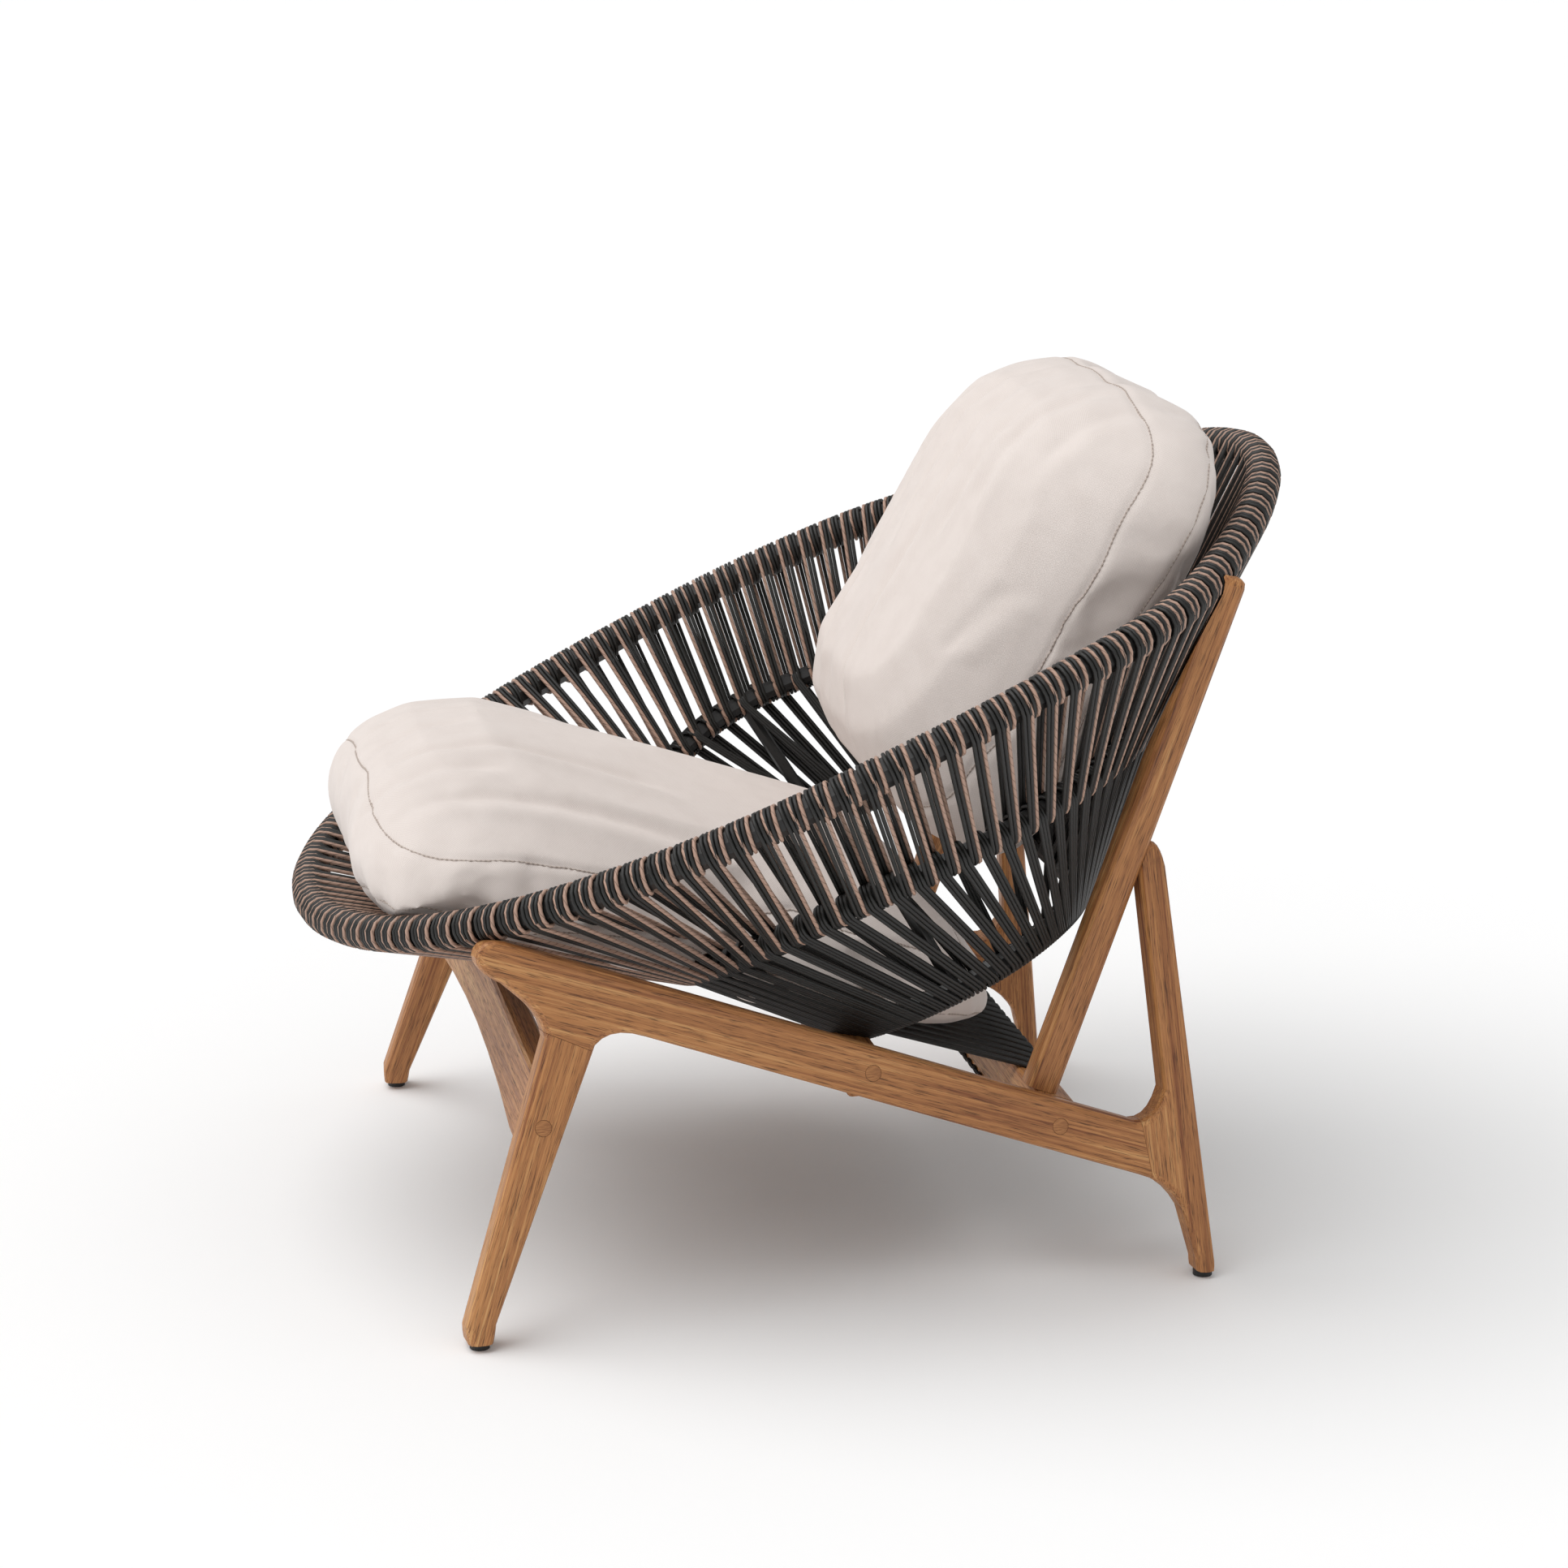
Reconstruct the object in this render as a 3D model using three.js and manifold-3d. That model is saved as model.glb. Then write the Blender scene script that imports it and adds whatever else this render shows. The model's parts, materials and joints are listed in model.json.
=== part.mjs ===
// Lounge armchair: two splayed teak side frames carry a rope-woven steel basket
// with a loose seat cushion and a loose back cushion.
// Units are millimetres. +Z is up, the chair faces -Y and X runs across it.

import * as THREE from 'three';
import { mergeVertices } from 'three/addons/utils/BufferGeometryUtils.js';
import Module from 'manifold-3d';

const wasm = await Module();
wasm.setup();

// ---- Driving dimensions ----

const fitGap = 0.3;              // clearance between pieces that touch

// Side frames: each lies in a plane that leans in towards the top and toes in towards the back.
const sideOffset = 322.4;        // middle of a side frame from the centre line, at the floor
const sideLean = 8.1;            // degrees
const sideToeIn = 4.3;           // degrees
const boardThickness = 30;
const boardRound = 6;            // rounding of the board edges

const frontFootAt = -313;        // glide centres, along the side frame
const rearFootAt = 316;
const railSlope = 19.85;         // degrees below level, towards the back
const railHeight = 43;           // across the grain
const railMiddle = 209.5;        // height of the rail's centre line where the side frame is measured from
const railTipAt = -290;          // front tip of the rail, along the side frame
const rearSeamAt = 264;          // where the rail meets the rear leg
const frontSeamAt = -229;        // where the rail's stub meets the front leg
const frontSeamDrop = 45;        // seam centre below the rail's centre line
const frontSeamWidth = 45;
const frontToeWidth = 27;
const rearLegTop = 378;          // top of the rear leg, along the side frame's upright
const rearLegTopAt = 275;
const rearTopWidth = 23;
const rearMidWidth = 27;
const rearToeWidth = 20;
const webRadius = 24;            // fillets where the legs branch off the rail

const postSize = 28;             // square back post
const postRound = 9;
const postFoot = { x: 254, y: 180 };
const postTop = { x: 256, y: 336, z: 600 };

const gliderRadius = 8.3;
const gliderHeight = 6;
const gliderPinRadius = 3;
const gliderPinLength = 14;

// Cross stretchers, centred on the side frame at a place along it and a height up it.
const frontStretcher = { at: -253, up: 184, wide: 26, high: 62, arch: 12, tilt: -18 };
const middleStretcher = { at: 25, up: 192, wide: 32, high: 34, tilt: 0 };
const rearStretcher = { at: 187, up: 142, wide: 36, high: 38, tilt: 19.85 };
const stretcherRound = 5;

// Basket hoops: harmonics of the angle round the hoop, from the front centre by way of +X.
// across = half width, then egg shape and squareness; deep and rise run front to back and up.
const rimHoop = {
  tube: 12.4, across: [390, 41, 21.5, -5], deepMid: 70, deep: [401, 79, 21, -17],
  riseMid: 497.4, rise: [171.3, 33, 12.9, -12.2], frontDip: 0,
};
const midHoop = {
  tube: 9, across: [348, 17, 7, 1], deepMid: 95, deep: [223, -17, -1, -1],
  riseMid: 374, rise: [107, 17, 6, 2], frontDip: 15,
};
const lowHoop = {
  tube: 9, across: [282, 12, 2, 1], deepMid: 131, deep: [131, -2.5, -3.5, -1.5],
  riseMid: 256, rise: [63, 23, -2.3, 2.5], frontDip: 0,
};
const lowHoopOpen = 39;          // degrees left open each side of the front centre
const dipSharpness = 10;         // how short the dip under the seat is
const hoopSteps = 48;            // facets round a full hoop
const tubeSides = 8;
const cordThickness = 3;         // woven skin
const rimHookFrom = 215;         // degrees the skin reaches round the rim tube
const hookUnder = 50;            // degrees the skin reaches under the middle hoop
const lowHookUnder = 105;

const ribRadius = 6;
const ribAngles = [78, 148];     // degrees round the hoops, mirrored on the other side

const deck = { frontHalf: 152, rearHalf: 215, sheet: 5, lift: 3 };

// Fasteners
const plugRadius = 6.8;
const plugDepth = 5;
const boltRadius = 3;
const boltHead = 5.5;
const boltHeadHeight = 3;
const railBoltLength = 58;
const postBoltLength = 14.4;
const frontPlugUp = 179;
const frontPlugAt = -255;
const middlePlugUp = 201;
const dowelRadius = 5;
const dowelLength = 44;

// Cushions
const seatCushion = {
  frontHalf: 298, rearHalf: 238, front: -409, rear: 200, sharp: 0.6, lift: 4,
  borderFront: 104, borderRear: 16, crownFront: 100, crownRear: 116,
};
const backCushion = {
  lowHalf: 226, highHalf: 262, length: 446, recline: 26.5, sharp: 0.5,
  footY: 132, footZ: 322, border: 44, crownLow: 152, crownHigh: 122, crownRear: 6, topBow: 22,
};
const cushionGap = 2;

// ---- Materials ----

const teak = new THREE.MeshStandardMaterial({ color: 0xac794c, roughness: 0.55, metalness: 0 });
const plugTeak = new THREE.MeshStandardMaterial({ color: 0x9a6638, roughness: 0.6, metalness: 0 });
const blackSteel = new THREE.MeshStandardMaterial({ color: 0x1b1b1c, roughness: 0.5, metalness: 0.4 });
const zincSteel = new THREE.MeshStandardMaterial({ color: 0x9c9d9e, roughness: 0.35, metalness: 1 });
const rope = new THREE.MeshStandardMaterial({ color: 0x2b2826, roughness: 0.8, metalness: 0 });
const fabric = new THREE.MeshStandardMaterial({ color: 0xe6dcd6, roughness: 0.95, metalness: 0 });
const blackPlastic = new THREE.MeshStandardMaterial({ color: 0x121212, roughness: 0.6, metalness: 0 });

// ---- Solids ----

const radians = THREE.MathUtils.degToRad;

// Position-only geometry with shared vertices and no collapsed triangles.
function welded(geometry) {
  const bare = new THREE.BufferGeometry();
  bare.setAttribute('position', geometry.getAttribute('position').clone());
  if (geometry.index) bare.setIndex(geometry.index.clone());
  const merged = mergeVertices(bare, 1e-3);
  const index = [];
  for (let i = 0; i < merged.index.count; i += 3) {
    const [a, b, c] = [0, 1, 2].map((k) => merged.index.getX(i + k));
    if (a !== b && b !== c && c !== a) index.push(a, b, c);
  }
  merged.setIndex(index);
  return merged;
}

function toSolid(geometry) {
  const merged = welded(geometry);
  return new wasm.Manifold(new wasm.Mesh({
    numProp: 3,
    vertProperties: new Float32Array(merged.getAttribute('position').array),
    triVerts: new Uint32Array(merged.index.array),
  }));
}

function toGeometry(solid) {
  const mesh = solid.getMesh();
  const geometry = new THREE.BufferGeometry();
  geometry.setAttribute('position', new THREE.BufferAttribute(new Float32Array(mesh.vertProperties), 3));
  geometry.setIndex([...mesh.triVerts]);
  return geometry;
}

// A geometry with every cutter taken out of it.
function cutBy(geometry, cutters) {
  let solid = toSolid(geometry);
  for (const cutter of cutters) solid = solid.subtract(toSolid(cutter));
  return toGeometry(solid);
}

function piece(name, geometry, material) {
  const shown = welded(geometry);
  shown.computeVertexNormals();
  const mesh = new THREE.Mesh(shown, material);
  mesh.name = name;
  return mesh;
}

// Rounded board: an outline in XY, centred on its own mid plane.
function board(shape, thickness, round, curveSegments = 6) {
  const geometry = new THREE.ExtrudeGeometry(shape, {
    depth: thickness - 2 * round, bevelEnabled: true, bevelThickness: round,
    bevelSize: round, bevelOffset: -round, bevelSegments: 2, curveSegments,
  });
  return geometry.translate(0, 0, -thickness / 2 + round);
}

function roundedBox(wide, high, round) {
  const shape = new THREE.Shape();
  const [a, b] = [wide / 2, high / 2];
  shape.moveTo(-a + round, -b).lineTo(a - round, -b).quadraticCurveTo(a, -b, a, -b + round);
  shape.lineTo(a, b - round).quadraticCurveTo(a, b, a - round, b);
  shape.lineTo(-a + round, b).quadraticCurveTo(-a, b, -a, b - round);
  shape.lineTo(-a, -b + round).quadraticCurveTo(-a, -b, -a + round, -b);
  return shape;
}

// Turned piece along +Z from a profile of [radius, height] pairs.
function turned(profile, segments = 12) {
  return new THREE.LatheGeometry(profile.map(([r, z]) => new THREE.Vector2(r, z)), segments)
    .rotateX(Math.PI / 2);
}

function rod(radius, from, to, segments = 12) {
  return turned([[0, from], [radius, from], [radius, to], [0, to]], segments);
}

// ---- Side frame layout ----

const toe = radians(sideToeIn);
const lean = radians(sideLean);
const along = new THREE.Vector3(-Math.sin(toe), Math.cos(toe), 0);
const outward = new THREE.Vector3(Math.cos(lean) * Math.cos(toe), Math.cos(lean) * Math.sin(toe), Math.sin(lean));
const upright = new THREE.Vector3().crossVectors(outward, along);
const sideOrigin = new THREE.Vector3(sideOffset, 0, 0);
const sideMatrix = new THREE.Matrix4().makeBasis(along, upright, outward).setPosition(sideOrigin);
const toSide = sideMatrix.clone().invert();
const mirror = new THREE.Matrix4().makeScale(-1, 1, 1);

// World point of a place on the side frame's mid plane.
function onSide(at, up, out = 0) {
  return new THREE.Vector3(at, up, out).applyMatrix4(sideMatrix);
}

function mirrored(geometry) {
  const flipped = welded(geometry).applyMatrix4(mirror);
  const index = flipped.index;
  for (let i = 0; i < index.count; i += 3) {
    const first = index.getX(i);
    index.setX(i, index.getX(i + 1));
    index.setX(i + 1, first);
  }
  return flipped;
}

const slope = Math.tan(radians(railSlope));
const railHalf = railHeight / 2 / Math.cos(radians(railSlope));
const railMid = (at) => railMiddle - slope * at;
const railTop = (at) => railMid(at) + railHalf;
const railBottom = (at) => railMid(at) - railHalf;

const legFloor = gliderHeight + fitGap;

// Whole side frame outline: rail, front leg and rear leg in one sheet.
function sideOutline() {
  const seamUp = railMid(frontSeamAt) - frontSeamDrop;
  const seamHalf = frontSeamWidth / 2;
  const toeHalf = frontToeWidth / 2;
  const tipMid = railMid(railTipAt);
  const s = new THREE.Shape();
  // front leg, front edge, up from the toe
  s.moveTo(frontFootAt + toeHalf * 0.5, -gliderHeight);
  s.lineTo(frontFootAt - toeHalf * 0.5, -gliderHeight);
  s.quadraticCurveTo(frontFootAt - toeHalf * 0.95, legFloor, frontFootAt - toeHalf * 0.9, legFloor + toeHalf);
  s.lineTo(frontSeamAt - seamHalf * 0.92, seamUp + seamHalf * 0.2);
  s.quadraticCurveTo(frontSeamAt - seamHalf, seamUp + webRadius,
    frontSeamAt - seamHalf - webRadius * 0.7, seamUp + webRadius * 1.6);
  // rail tip
  s.lineTo(railTipAt + railHalf * 0.3, tipMid - railHalf * 0.65);
  s.quadraticCurveTo(railTipAt - railHalf * 0.6, tipMid - railHalf * 0.2, railTipAt - railHalf * 0.6, tipMid + railHalf * 0.35);
  s.quadraticCurveTo(railTipAt - railHalf * 0.5, railTop(railTipAt) + 1, railTipAt + railHalf * 0.5, railTop(railTipAt + railHalf * 0.5));
  // rail top, then rear leg up and round
  s.lineTo(rearSeamAt - webRadius * 0.4, railTop(rearSeamAt - webRadius * 0.4));
  const legIn = rearLegInner(railTop(rearSeamAt) + webRadius * 1.2);
  s.quadraticCurveTo(rearSeamAt + webRadius * 0.35, railTop(rearSeamAt) + 1, legIn, railTop(rearSeamAt) + webRadius * 1.2);
  s.lineTo(rearLegInner(rearLegTop - rearTopWidth), rearLegTop - rearTopWidth);
  s.quadraticCurveTo(rearLegTopAt - rearTopWidth * 0.42, rearLegTop, rearLegTopAt + 1, rearLegTop);
  s.quadraticCurveTo(rearLegTopAt + rearTopWidth * 0.42, rearLegTop - 2,
    rearLegOuter(rearLegTop - rearTopWidth), rearLegTop - rearTopWidth);
  s.lineTo(rearLegOuter(legFloor + rearToeWidth / 2), legFloor + rearToeWidth / 2);
  s.quadraticCurveTo(rearFootAt + rearToeWidth * 0.45, legFloor, rearFootAt + rearToeWidth * 0.25, -gliderHeight);
  s.lineTo(rearFootAt - rearToeWidth * 0.25, -gliderHeight);
  s.quadraticCurveTo(rearFootAt - rearToeWidth * 0.48, legFloor, rearFootAt - rearToeWidth * 0.45, legFloor + rearToeWidth / 2);
  const lowIn = railBottom(rearSeamAt) - webRadius * 1.25;
  s.lineTo(rearFootAt - rearToeWidth * 0.5 - lowIn * 0.17, lowIn);
  s.quadraticCurveTo(rearSeamAt + webRadius * 0.8, railBottom(rearSeamAt) - webRadius * 0.25,
    rearSeamAt - webRadius * 0.3, railBottom(rearSeamAt - webRadius * 0.3));
  // rail underside and the web behind the front leg
  s.lineTo(frontSeamAt + seamHalf + webRadius * 1.7, railBottom(frontSeamAt + seamHalf + webRadius * 1.7));
  s.quadraticCurveTo(frontSeamAt + seamHalf + webRadius * 0.5, railBottom(frontSeamAt + seamHalf + webRadius * 0.4),
    frontSeamAt + seamHalf * 0.92, seamUp - seamHalf * 0.2);
  s.lineTo(frontFootAt + toeHalf * 0.95, legFloor + toeHalf);
  s.quadraticCurveTo(frontFootAt + toeHalf * 0.8, legFloor, frontFootAt + toeHalf * 0.5, -gliderHeight);
  return s;
}

function rearLegOuter(up) {
  const share = up / rearLegTop;
  return THREE.MathUtils.lerp(rearFootAt + rearToeWidth / 2 - 1, rearLegTopAt + rearTopWidth / 2, share);
}

function rearLegInner(up) {
  const branch = railTop(rearSeamAt);
  const share = (up - branch) / (rearLegTop - branch);
  return rearLegOuter(up) - THREE.MathUtils.lerp(rearMidWidth, rearTopWidth, share);
}

const sheetSpan = 1200;

// Half-space as a big block whose face passes through a point, facing a direction in the frame's plane.
function halfSheet(at, up, turn) {
  return new THREE.BoxGeometry(sheetSpan, sheetSpan, sheetSpan)
    .translate(0, sheetSpan / 2, 0).rotateZ(radians(turn)).translate(at, up, 0);
}

const frontSeamUp = railMid(frontSeamAt) - frontSeamDrop;
const frontSeamTurn = -25.5;     // degrees: seam square to the front leg
const rearSeamTurn = -80;        // degrees: seam nearly upright

// ---- Hoops ----

class HoopCurve extends THREE.Curve {
  constructor(hoop, from = 0, to = 1) {
    super();
    Object.assign(this, { hoop, from, to });
  }

  getPoint(share, target = new THREE.Vector3()) {
    const turn = 2 * Math.PI * THREE.MathUtils.lerp(this.from, this.to, share);
    const { across, deepMid, deep, riseMid, rise, frontDip } = this.hoop;
    let [x, y, z] = [0, deepMid, riseMid - frontDip * ((1 + Math.cos(turn)) / 2) ** dipSharpness];
    for (let k = 0; k < across.length; k += 1) {
      x += across[k] * Math.sin((k + 1) * turn);
      y -= deep[k] * Math.cos((k + 1) * turn);
      z -= rise[k] * Math.cos((k + 1) * turn);
    }
    return target.set(x, y, z);
  }

  // Facets fall at equal angles, so that neighbouring pieces share them.
  getPointAt(share, target) { return this.getPoint(share, target); }

  getTangentAt(share, target) { return this.getTangent(share, target); }

  getSpacedPoints(count) { return this.getPoints(count); }

  getTangent(share, target = new THREE.Vector3()) {
    const step = 1e-4;
    return target.copy(this.getPoint(share + step)).sub(this.getPoint(share - step)).normalize();
  }
}

const rimCurve = new HoopCurve(rimHoop);
const midCurve = new HoopCurve(midHoop);
const lowCurve = new HoopCurve(lowHoop);

function hoopTube(curve, radius, steps, sides = tubeSides) {
  return new THREE.TubeGeometry(curve, steps, radius, sides, true);
}

function openTube(curve, radius, steps, sides = tubeSides) {
  const section = new THREE.Shape();
  for (let i = 0; i < sides; i += 1) {
    const turn = (2 * Math.PI * i) / sides;
    const [x, y] = [radius * Math.cos(turn), radius * Math.sin(turn)];
    if (i === 0) section.moveTo(x, y); else section.lineTo(x, y);
  }
  return new THREE.ExtrudeGeometry(section, { steps, extrudePath: curve, bevelEnabled: false, curveSegments: 1 });
}

// ---- Woven skins ----

// Axes for a skin section at a hoop: out of the basket, and down towards the next hoop.
function skinAxes(curve, share, down) {
  const tangent = curve.getTangent(share);
  const out = new THREE.Vector3().crossVectors(down, tangent).normalize();
  const drop = new THREE.Vector3().crossVectors(tangent, out).normalize();
  return { centre: curve.getPoint(share), out, drop };
}

// Point at a radius and angle round a hoop: 0 is outward, 90 up, 180 inward, -90 down.
function around({ centre, out, drop }, radius, degrees) {
  return centre.clone()
    .addScaledVector(out, radius * Math.cos(radians(degrees)))
    .addScaledVector(drop, -radius * Math.sin(radians(degrees)));
}

const arcStep = 36;              // degrees between the skin's facets round a tube
const facetShare = Math.cos(radians(arcStep / 2));
const hoopInside = (hoop) => (hoop.tube + fitGap * 2.5) / facetShare;
const hoopOutside = (hoop) => hoopInside(hoop) + cordThickness;

function arcAngles(from, to) {
  const count = Math.max(1, Math.round(Math.abs(from - to) / arcStep));
  return Array.from({ length: count + 1 }, (_, i) => THREE.MathUtils.lerp(from, to, i / count));
}

function upperSection(share, grow = 0) {
  const down = midCurve.getPoint(share).sub(rimCurve.getPoint(share));
  const rim = skinAxes(rimCurve, share, down);
  const mid = skinAxes(midCurve, share, down);
  const over = arcAngles(rimHookFrom, 0);
  const under = arcAngles(0, -hookUnder);
  return [
    ...over.map((a) => around(rim, hoopOutside(rimHoop) + grow, a)),
    ...under.map((a) => around(mid, hoopOutside(midHoop) + grow, a)),
    ...under.toReversed().map((a) => around(mid, hoopInside(midHoop) - grow, a)),
    ...over.toReversed().map((a) => around(rim, hoopInside(rimHoop) - grow, a)),
  ];
}

function lowerSection(share, grow = 0) {
  const down = lowCurve.getPoint(share).sub(midCurve.getPoint(share));
  const mid = skinAxes(midCurve, share, down);
  const low = skinAxes(lowCurve, share, down);
  const under = arcAngles(0, -lowHookUnder);
  const start = hoopOutside(midHoop) + fitGap * 3;
  return [
    around(mid, start + cordThickness * 0.4 + grow, -hookUnder + 20),
    ...under.map((a) => around(low, hoopOutside(lowHoop) + grow, a)),
    ...under.toReversed().map((a) => around(low, hoopInside(lowHoop) - grow, a)),
    around(mid, start - grow, -hookUnder - 4),
  ];
}

// Skin swept through its sections; an open sweep gets flat ends.
function skin(sectionAt, from, to, steps, closed) {
  const rows = closed ? steps : steps + 1;
  const rings = Array.from({ length: rows }, (_, i) => sectionAt(THREE.MathUtils.lerp(from, to, i / steps)));
  const width = rings[0].length;
  const index = [];
  for (let i = 0; i < steps; i += 1) {
    const next = (i + 1) % rows;
    for (let j = 0; j < width; j += 1) {
      const k = (j + 1) % width;
      index.push(i * width + j, next * width + j, next * width + k);
      index.push(i * width + j, next * width + k, i * width + k);
    }
  }
  // A section runs down its outer side and back up its inner side, so a flat end is a strip between them.
  const last = (rows - 1) * width;
  for (let a = 0; !closed && a + 1 < width / 2; a += 1) {
    const [b, c, d] = [a + 1, width - 2 - a, width - 1 - a];
    index.push(a, b, c, a, c, d, last + a, last + c, last + b, last + a, last + d, last + c);
  }
  const geometry = new THREE.BufferGeometry();
  geometry.setAttribute('position', new THREE.Float32BufferAttribute(rings.flat().flatMap((p) => p.toArray()), 3));
  geometry.setIndex(index);
  return outwardFacing(geometry);
}

// The woven wall is modelled in panels, each a simple curved sheet, a hair apart.
const panelSeam = fitGap / (2 * Math.PI * lowHoop.across[0]);
const sixths = (i) => (2 * i - 1) / 12;
const lowBackHalf = 50;            // degrees each side of the back, for the lower back panel
const middlePanels = {
  woven_wall_front: [sixths(0), sixths(1)],
  woven_wall_back: [sixths(3), sixths(4)],
};
const lowerBackPanel = [0.5 - lowBackHalf / 360, 0.5 + lowBackHalf / 360];
const leftPanels = {
  woven_wall_arm: [sixths(1), sixths(2)],
  woven_wall_corner: [sixths(2), sixths(3)],
};
const lowerLeftPanel = [lowHoopOpen / 360, 0.5 - lowBackHalf / 360];

function panel(sectionAt, from, to) {
  const steps = Math.round(hoopSteps * (to - from));
  return skin(sectionAt, from + panelSeam / 2, to - panelSeam / 2, steps, false);
}

function outwardFacing(geometry) {
  const position = geometry.getAttribute('position');
  const [a, b, c] = [new THREE.Vector3(), new THREE.Vector3(), new THREE.Vector3()];
  let volume = 0;
  for (let i = 0; i < geometry.index.count; i += 3) {
    a.fromBufferAttribute(position, geometry.index.getX(i));
    b.fromBufferAttribute(position, geometry.index.getX(i + 1));
    c.fromBufferAttribute(position, geometry.index.getX(i + 2));
    volume += a.dot(b.cross(c));
  }
  if (volume < 0) {
    const index = [...geometry.index.array];
    for (let i = 0; i < index.length; i += 3) [index[i], index[i + 1]] = [index[i + 1], index[i]];
    geometry.setIndex(index);
  }
  return geometry;
}

// ---- Back post ----

const rearMidPoint = onSide(rearStretcher.at, rearStretcher.up);
const stretcherTopAt = (y) => rearMidPoint.z + rearStretcher.high / 2 / Math.cos(radians(rearStretcher.tilt))
  - Math.tan(radians(rearStretcher.tilt)) * (y - rearMidPoint.y);
const postFootZ = stretcherTopAt(postFoot.y);
const postBase = new THREE.Vector3(postFoot.x, postFoot.y, postFootZ);
const postHead = new THREE.Vector3(postTop.x, postTop.y, postTop.z);
const postAxis = postHead.clone().sub(postBase).normalize();

// Post frame: local X faces outward, local Y faces the chair's back, local Z runs up the post.
const postBack = new THREE.Vector3().crossVectors(postAxis, new THREE.Vector3(1, 0, 0)).normalize();
const postOut = new THREE.Vector3().crossVectors(postBack, postAxis).normalize();
const postMatrix = new THREE.Matrix4().makeBasis(postOut, postBack, postAxis).setPosition(postBase);
const postLength = postHead.distanceTo(postBase);

function postBar(grow, overFoot) {
  const size = postSize + 2 * grow;
  return new THREE.ExtrudeGeometry(roundedBox(size, size, postRound), {
    depth: postLength + overFoot + 2 * grow, bevelEnabled: true, bevelThickness: postRound * 0.8,
    bevelSize: postRound * 0.5, bevelOffset: -postRound * 0.5, bevelSegments: 2, curveSegments: 3,
  }).translate(0, 0, -overFoot - postRound * 0.8 - grow).applyMatrix4(postMatrix);
}

// ---- Fastener places: origin on the outer face, +Z into the wood ----

const halfBoard = boardThickness / 2;

function sideFastener(at, up) {
  return new THREE.Matrix4().makeRotationX(Math.PI).setPosition(at, up, halfBoard).premultiply(sideMatrix);
}

const frontLegTurn = Math.atan2(frontSeamAt - frontFootAt, frontSeamUp);
const plugPlaces = {
  front: sideFastener(frontPlugAt, frontPlugUp),
  middle: sideFastener(middleStretcher.at, middlePlugUp),
  rear: sideFastener(rearStretcher.at, rearStretcher.up),
};

// Rear-face fastener on the post, near its top, running forward into the rim.
const postPlugDrop = 20;
const postPlug = new THREE.Matrix4().makeRotationX(Math.PI / 2)
  .setPosition(0, postSize / 2, postLength - postPlugDrop).premultiply(postMatrix);

// Fastener through the top of the rear leg, from its rear edge into the post.
const legPlugDrop = 27;
const legPlugUp = rearLegTop - legPlugDrop;
const legPlug = new THREE.Matrix4().makeRotationY(-Math.PI / 2)
  .setPosition(rearLegOuter(legPlugUp) - 1, legPlugUp, 0).premultiply(sideMatrix);

const plugSeat = plugDepth + fitGap;
const headSeat = plugSeat + boltHeadHeight;

function plugSolid(reach = 0) {
  return rod(plugRadius, -reach, plugDepth, 16);
}

function boltSolid(length) {
  return turned([[0, plugSeat], [boltHead, plugSeat], [boltHead, headSeat], [boltRadius, headSeat],
    [boltRadius, plugSeat + length], [0, plugSeat + length]], 10);
}

// Counterbore and bolt hole, a clearance wider than what goes in them.
function boreSolid(length) {
  const over = 12;
  const [wide, narrow, deep] = [plugRadius + fitGap, boltRadius + fitGap, plugSeat + length + fitGap];
  return turned([[0, -over], [wide, -over], [wide, headSeat + fitGap], [narrow, headSeat + fitGap],
    [narrow, deep], [0, deep]], 16);
}

const railBore = Object.fromEntries(Object.entries(plugPlaces)
  .map(([place, matrix]) => [place, boreSolid(railBoltLength).applyMatrix4(matrix)]));
const postBore = boreSolid(postBoltLength).applyMatrix4(postPlug);
const legBoltLength = rearTopWidth + 8;
const legBore = boreSolid(legBoltLength).applyMatrix4(legPlug);

// Dowels across the two seams of a side frame
function dowelPlace(at, up, turn) {
  return new THREE.Matrix4().makeRotationX(Math.PI / 2).premultiply(new THREE.Matrix4().makeRotationZ(radians(turn)))
    .setPosition(at, up, 0);
}

const seamDowels = {
  front_leg: dowelPlace(frontSeamAt, frontSeamUp, frontSeamTurn),
  rear_leg: dowelPlace(rearSeamAt, railMid(rearSeamAt), rearSeamTurn),
};
const dowelSolid = () => rod(dowelRadius, -dowelLength / 2, dowelLength / 2);
const dowelBore = () => rod(dowelRadius + fitGap, -dowelLength / 2 - fitGap, dowelLength / 2 + fitGap);
const dowelBores = Object.values(seamDowels).map((matrix) => dowelBore().applyMatrix4(matrix));

// Glides stand square on the floor under each leg.
const gliderSpots = { front: onSide(frontFootAt, 0), rear: onSide(rearFootAt, 0) };

function gliderSolid(grow = 0) {
  const top = gliderHeight + grow;
  return turned([[0, -grow], [gliderRadius + grow * 20, -grow], [gliderRadius + grow * 20, top],
    [gliderPinRadius + grow, top], [gliderPinRadius + grow, top + gliderPinLength], [0, top + gliderPinLength]], 20);
}

// Everything below the toe line, and the glide's pin hole.
function toeCutters(spot) {
  const floor = new THREE.BoxGeometry(sheetSpan, sheetSpan, sheetSpan).translate(0, 0, legFloor - sheetSpan / 2);
  const pin = rod(gliderPinRadius + fitGap, 0, gliderHeight + gliderPinLength + 2 * fitGap);
  return [floor.translate(spot.x, spot.y, 0), pin.translate(spot.x, spot.y, 0)]
    .map((cutter) => cutter.applyMatrix4(toSide));
}

// ---- Wooden parts of one side, in world position ----

function localBores(names) {
  return names.map((name) => railBore[name].clone().applyMatrix4(toSide));
}

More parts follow.
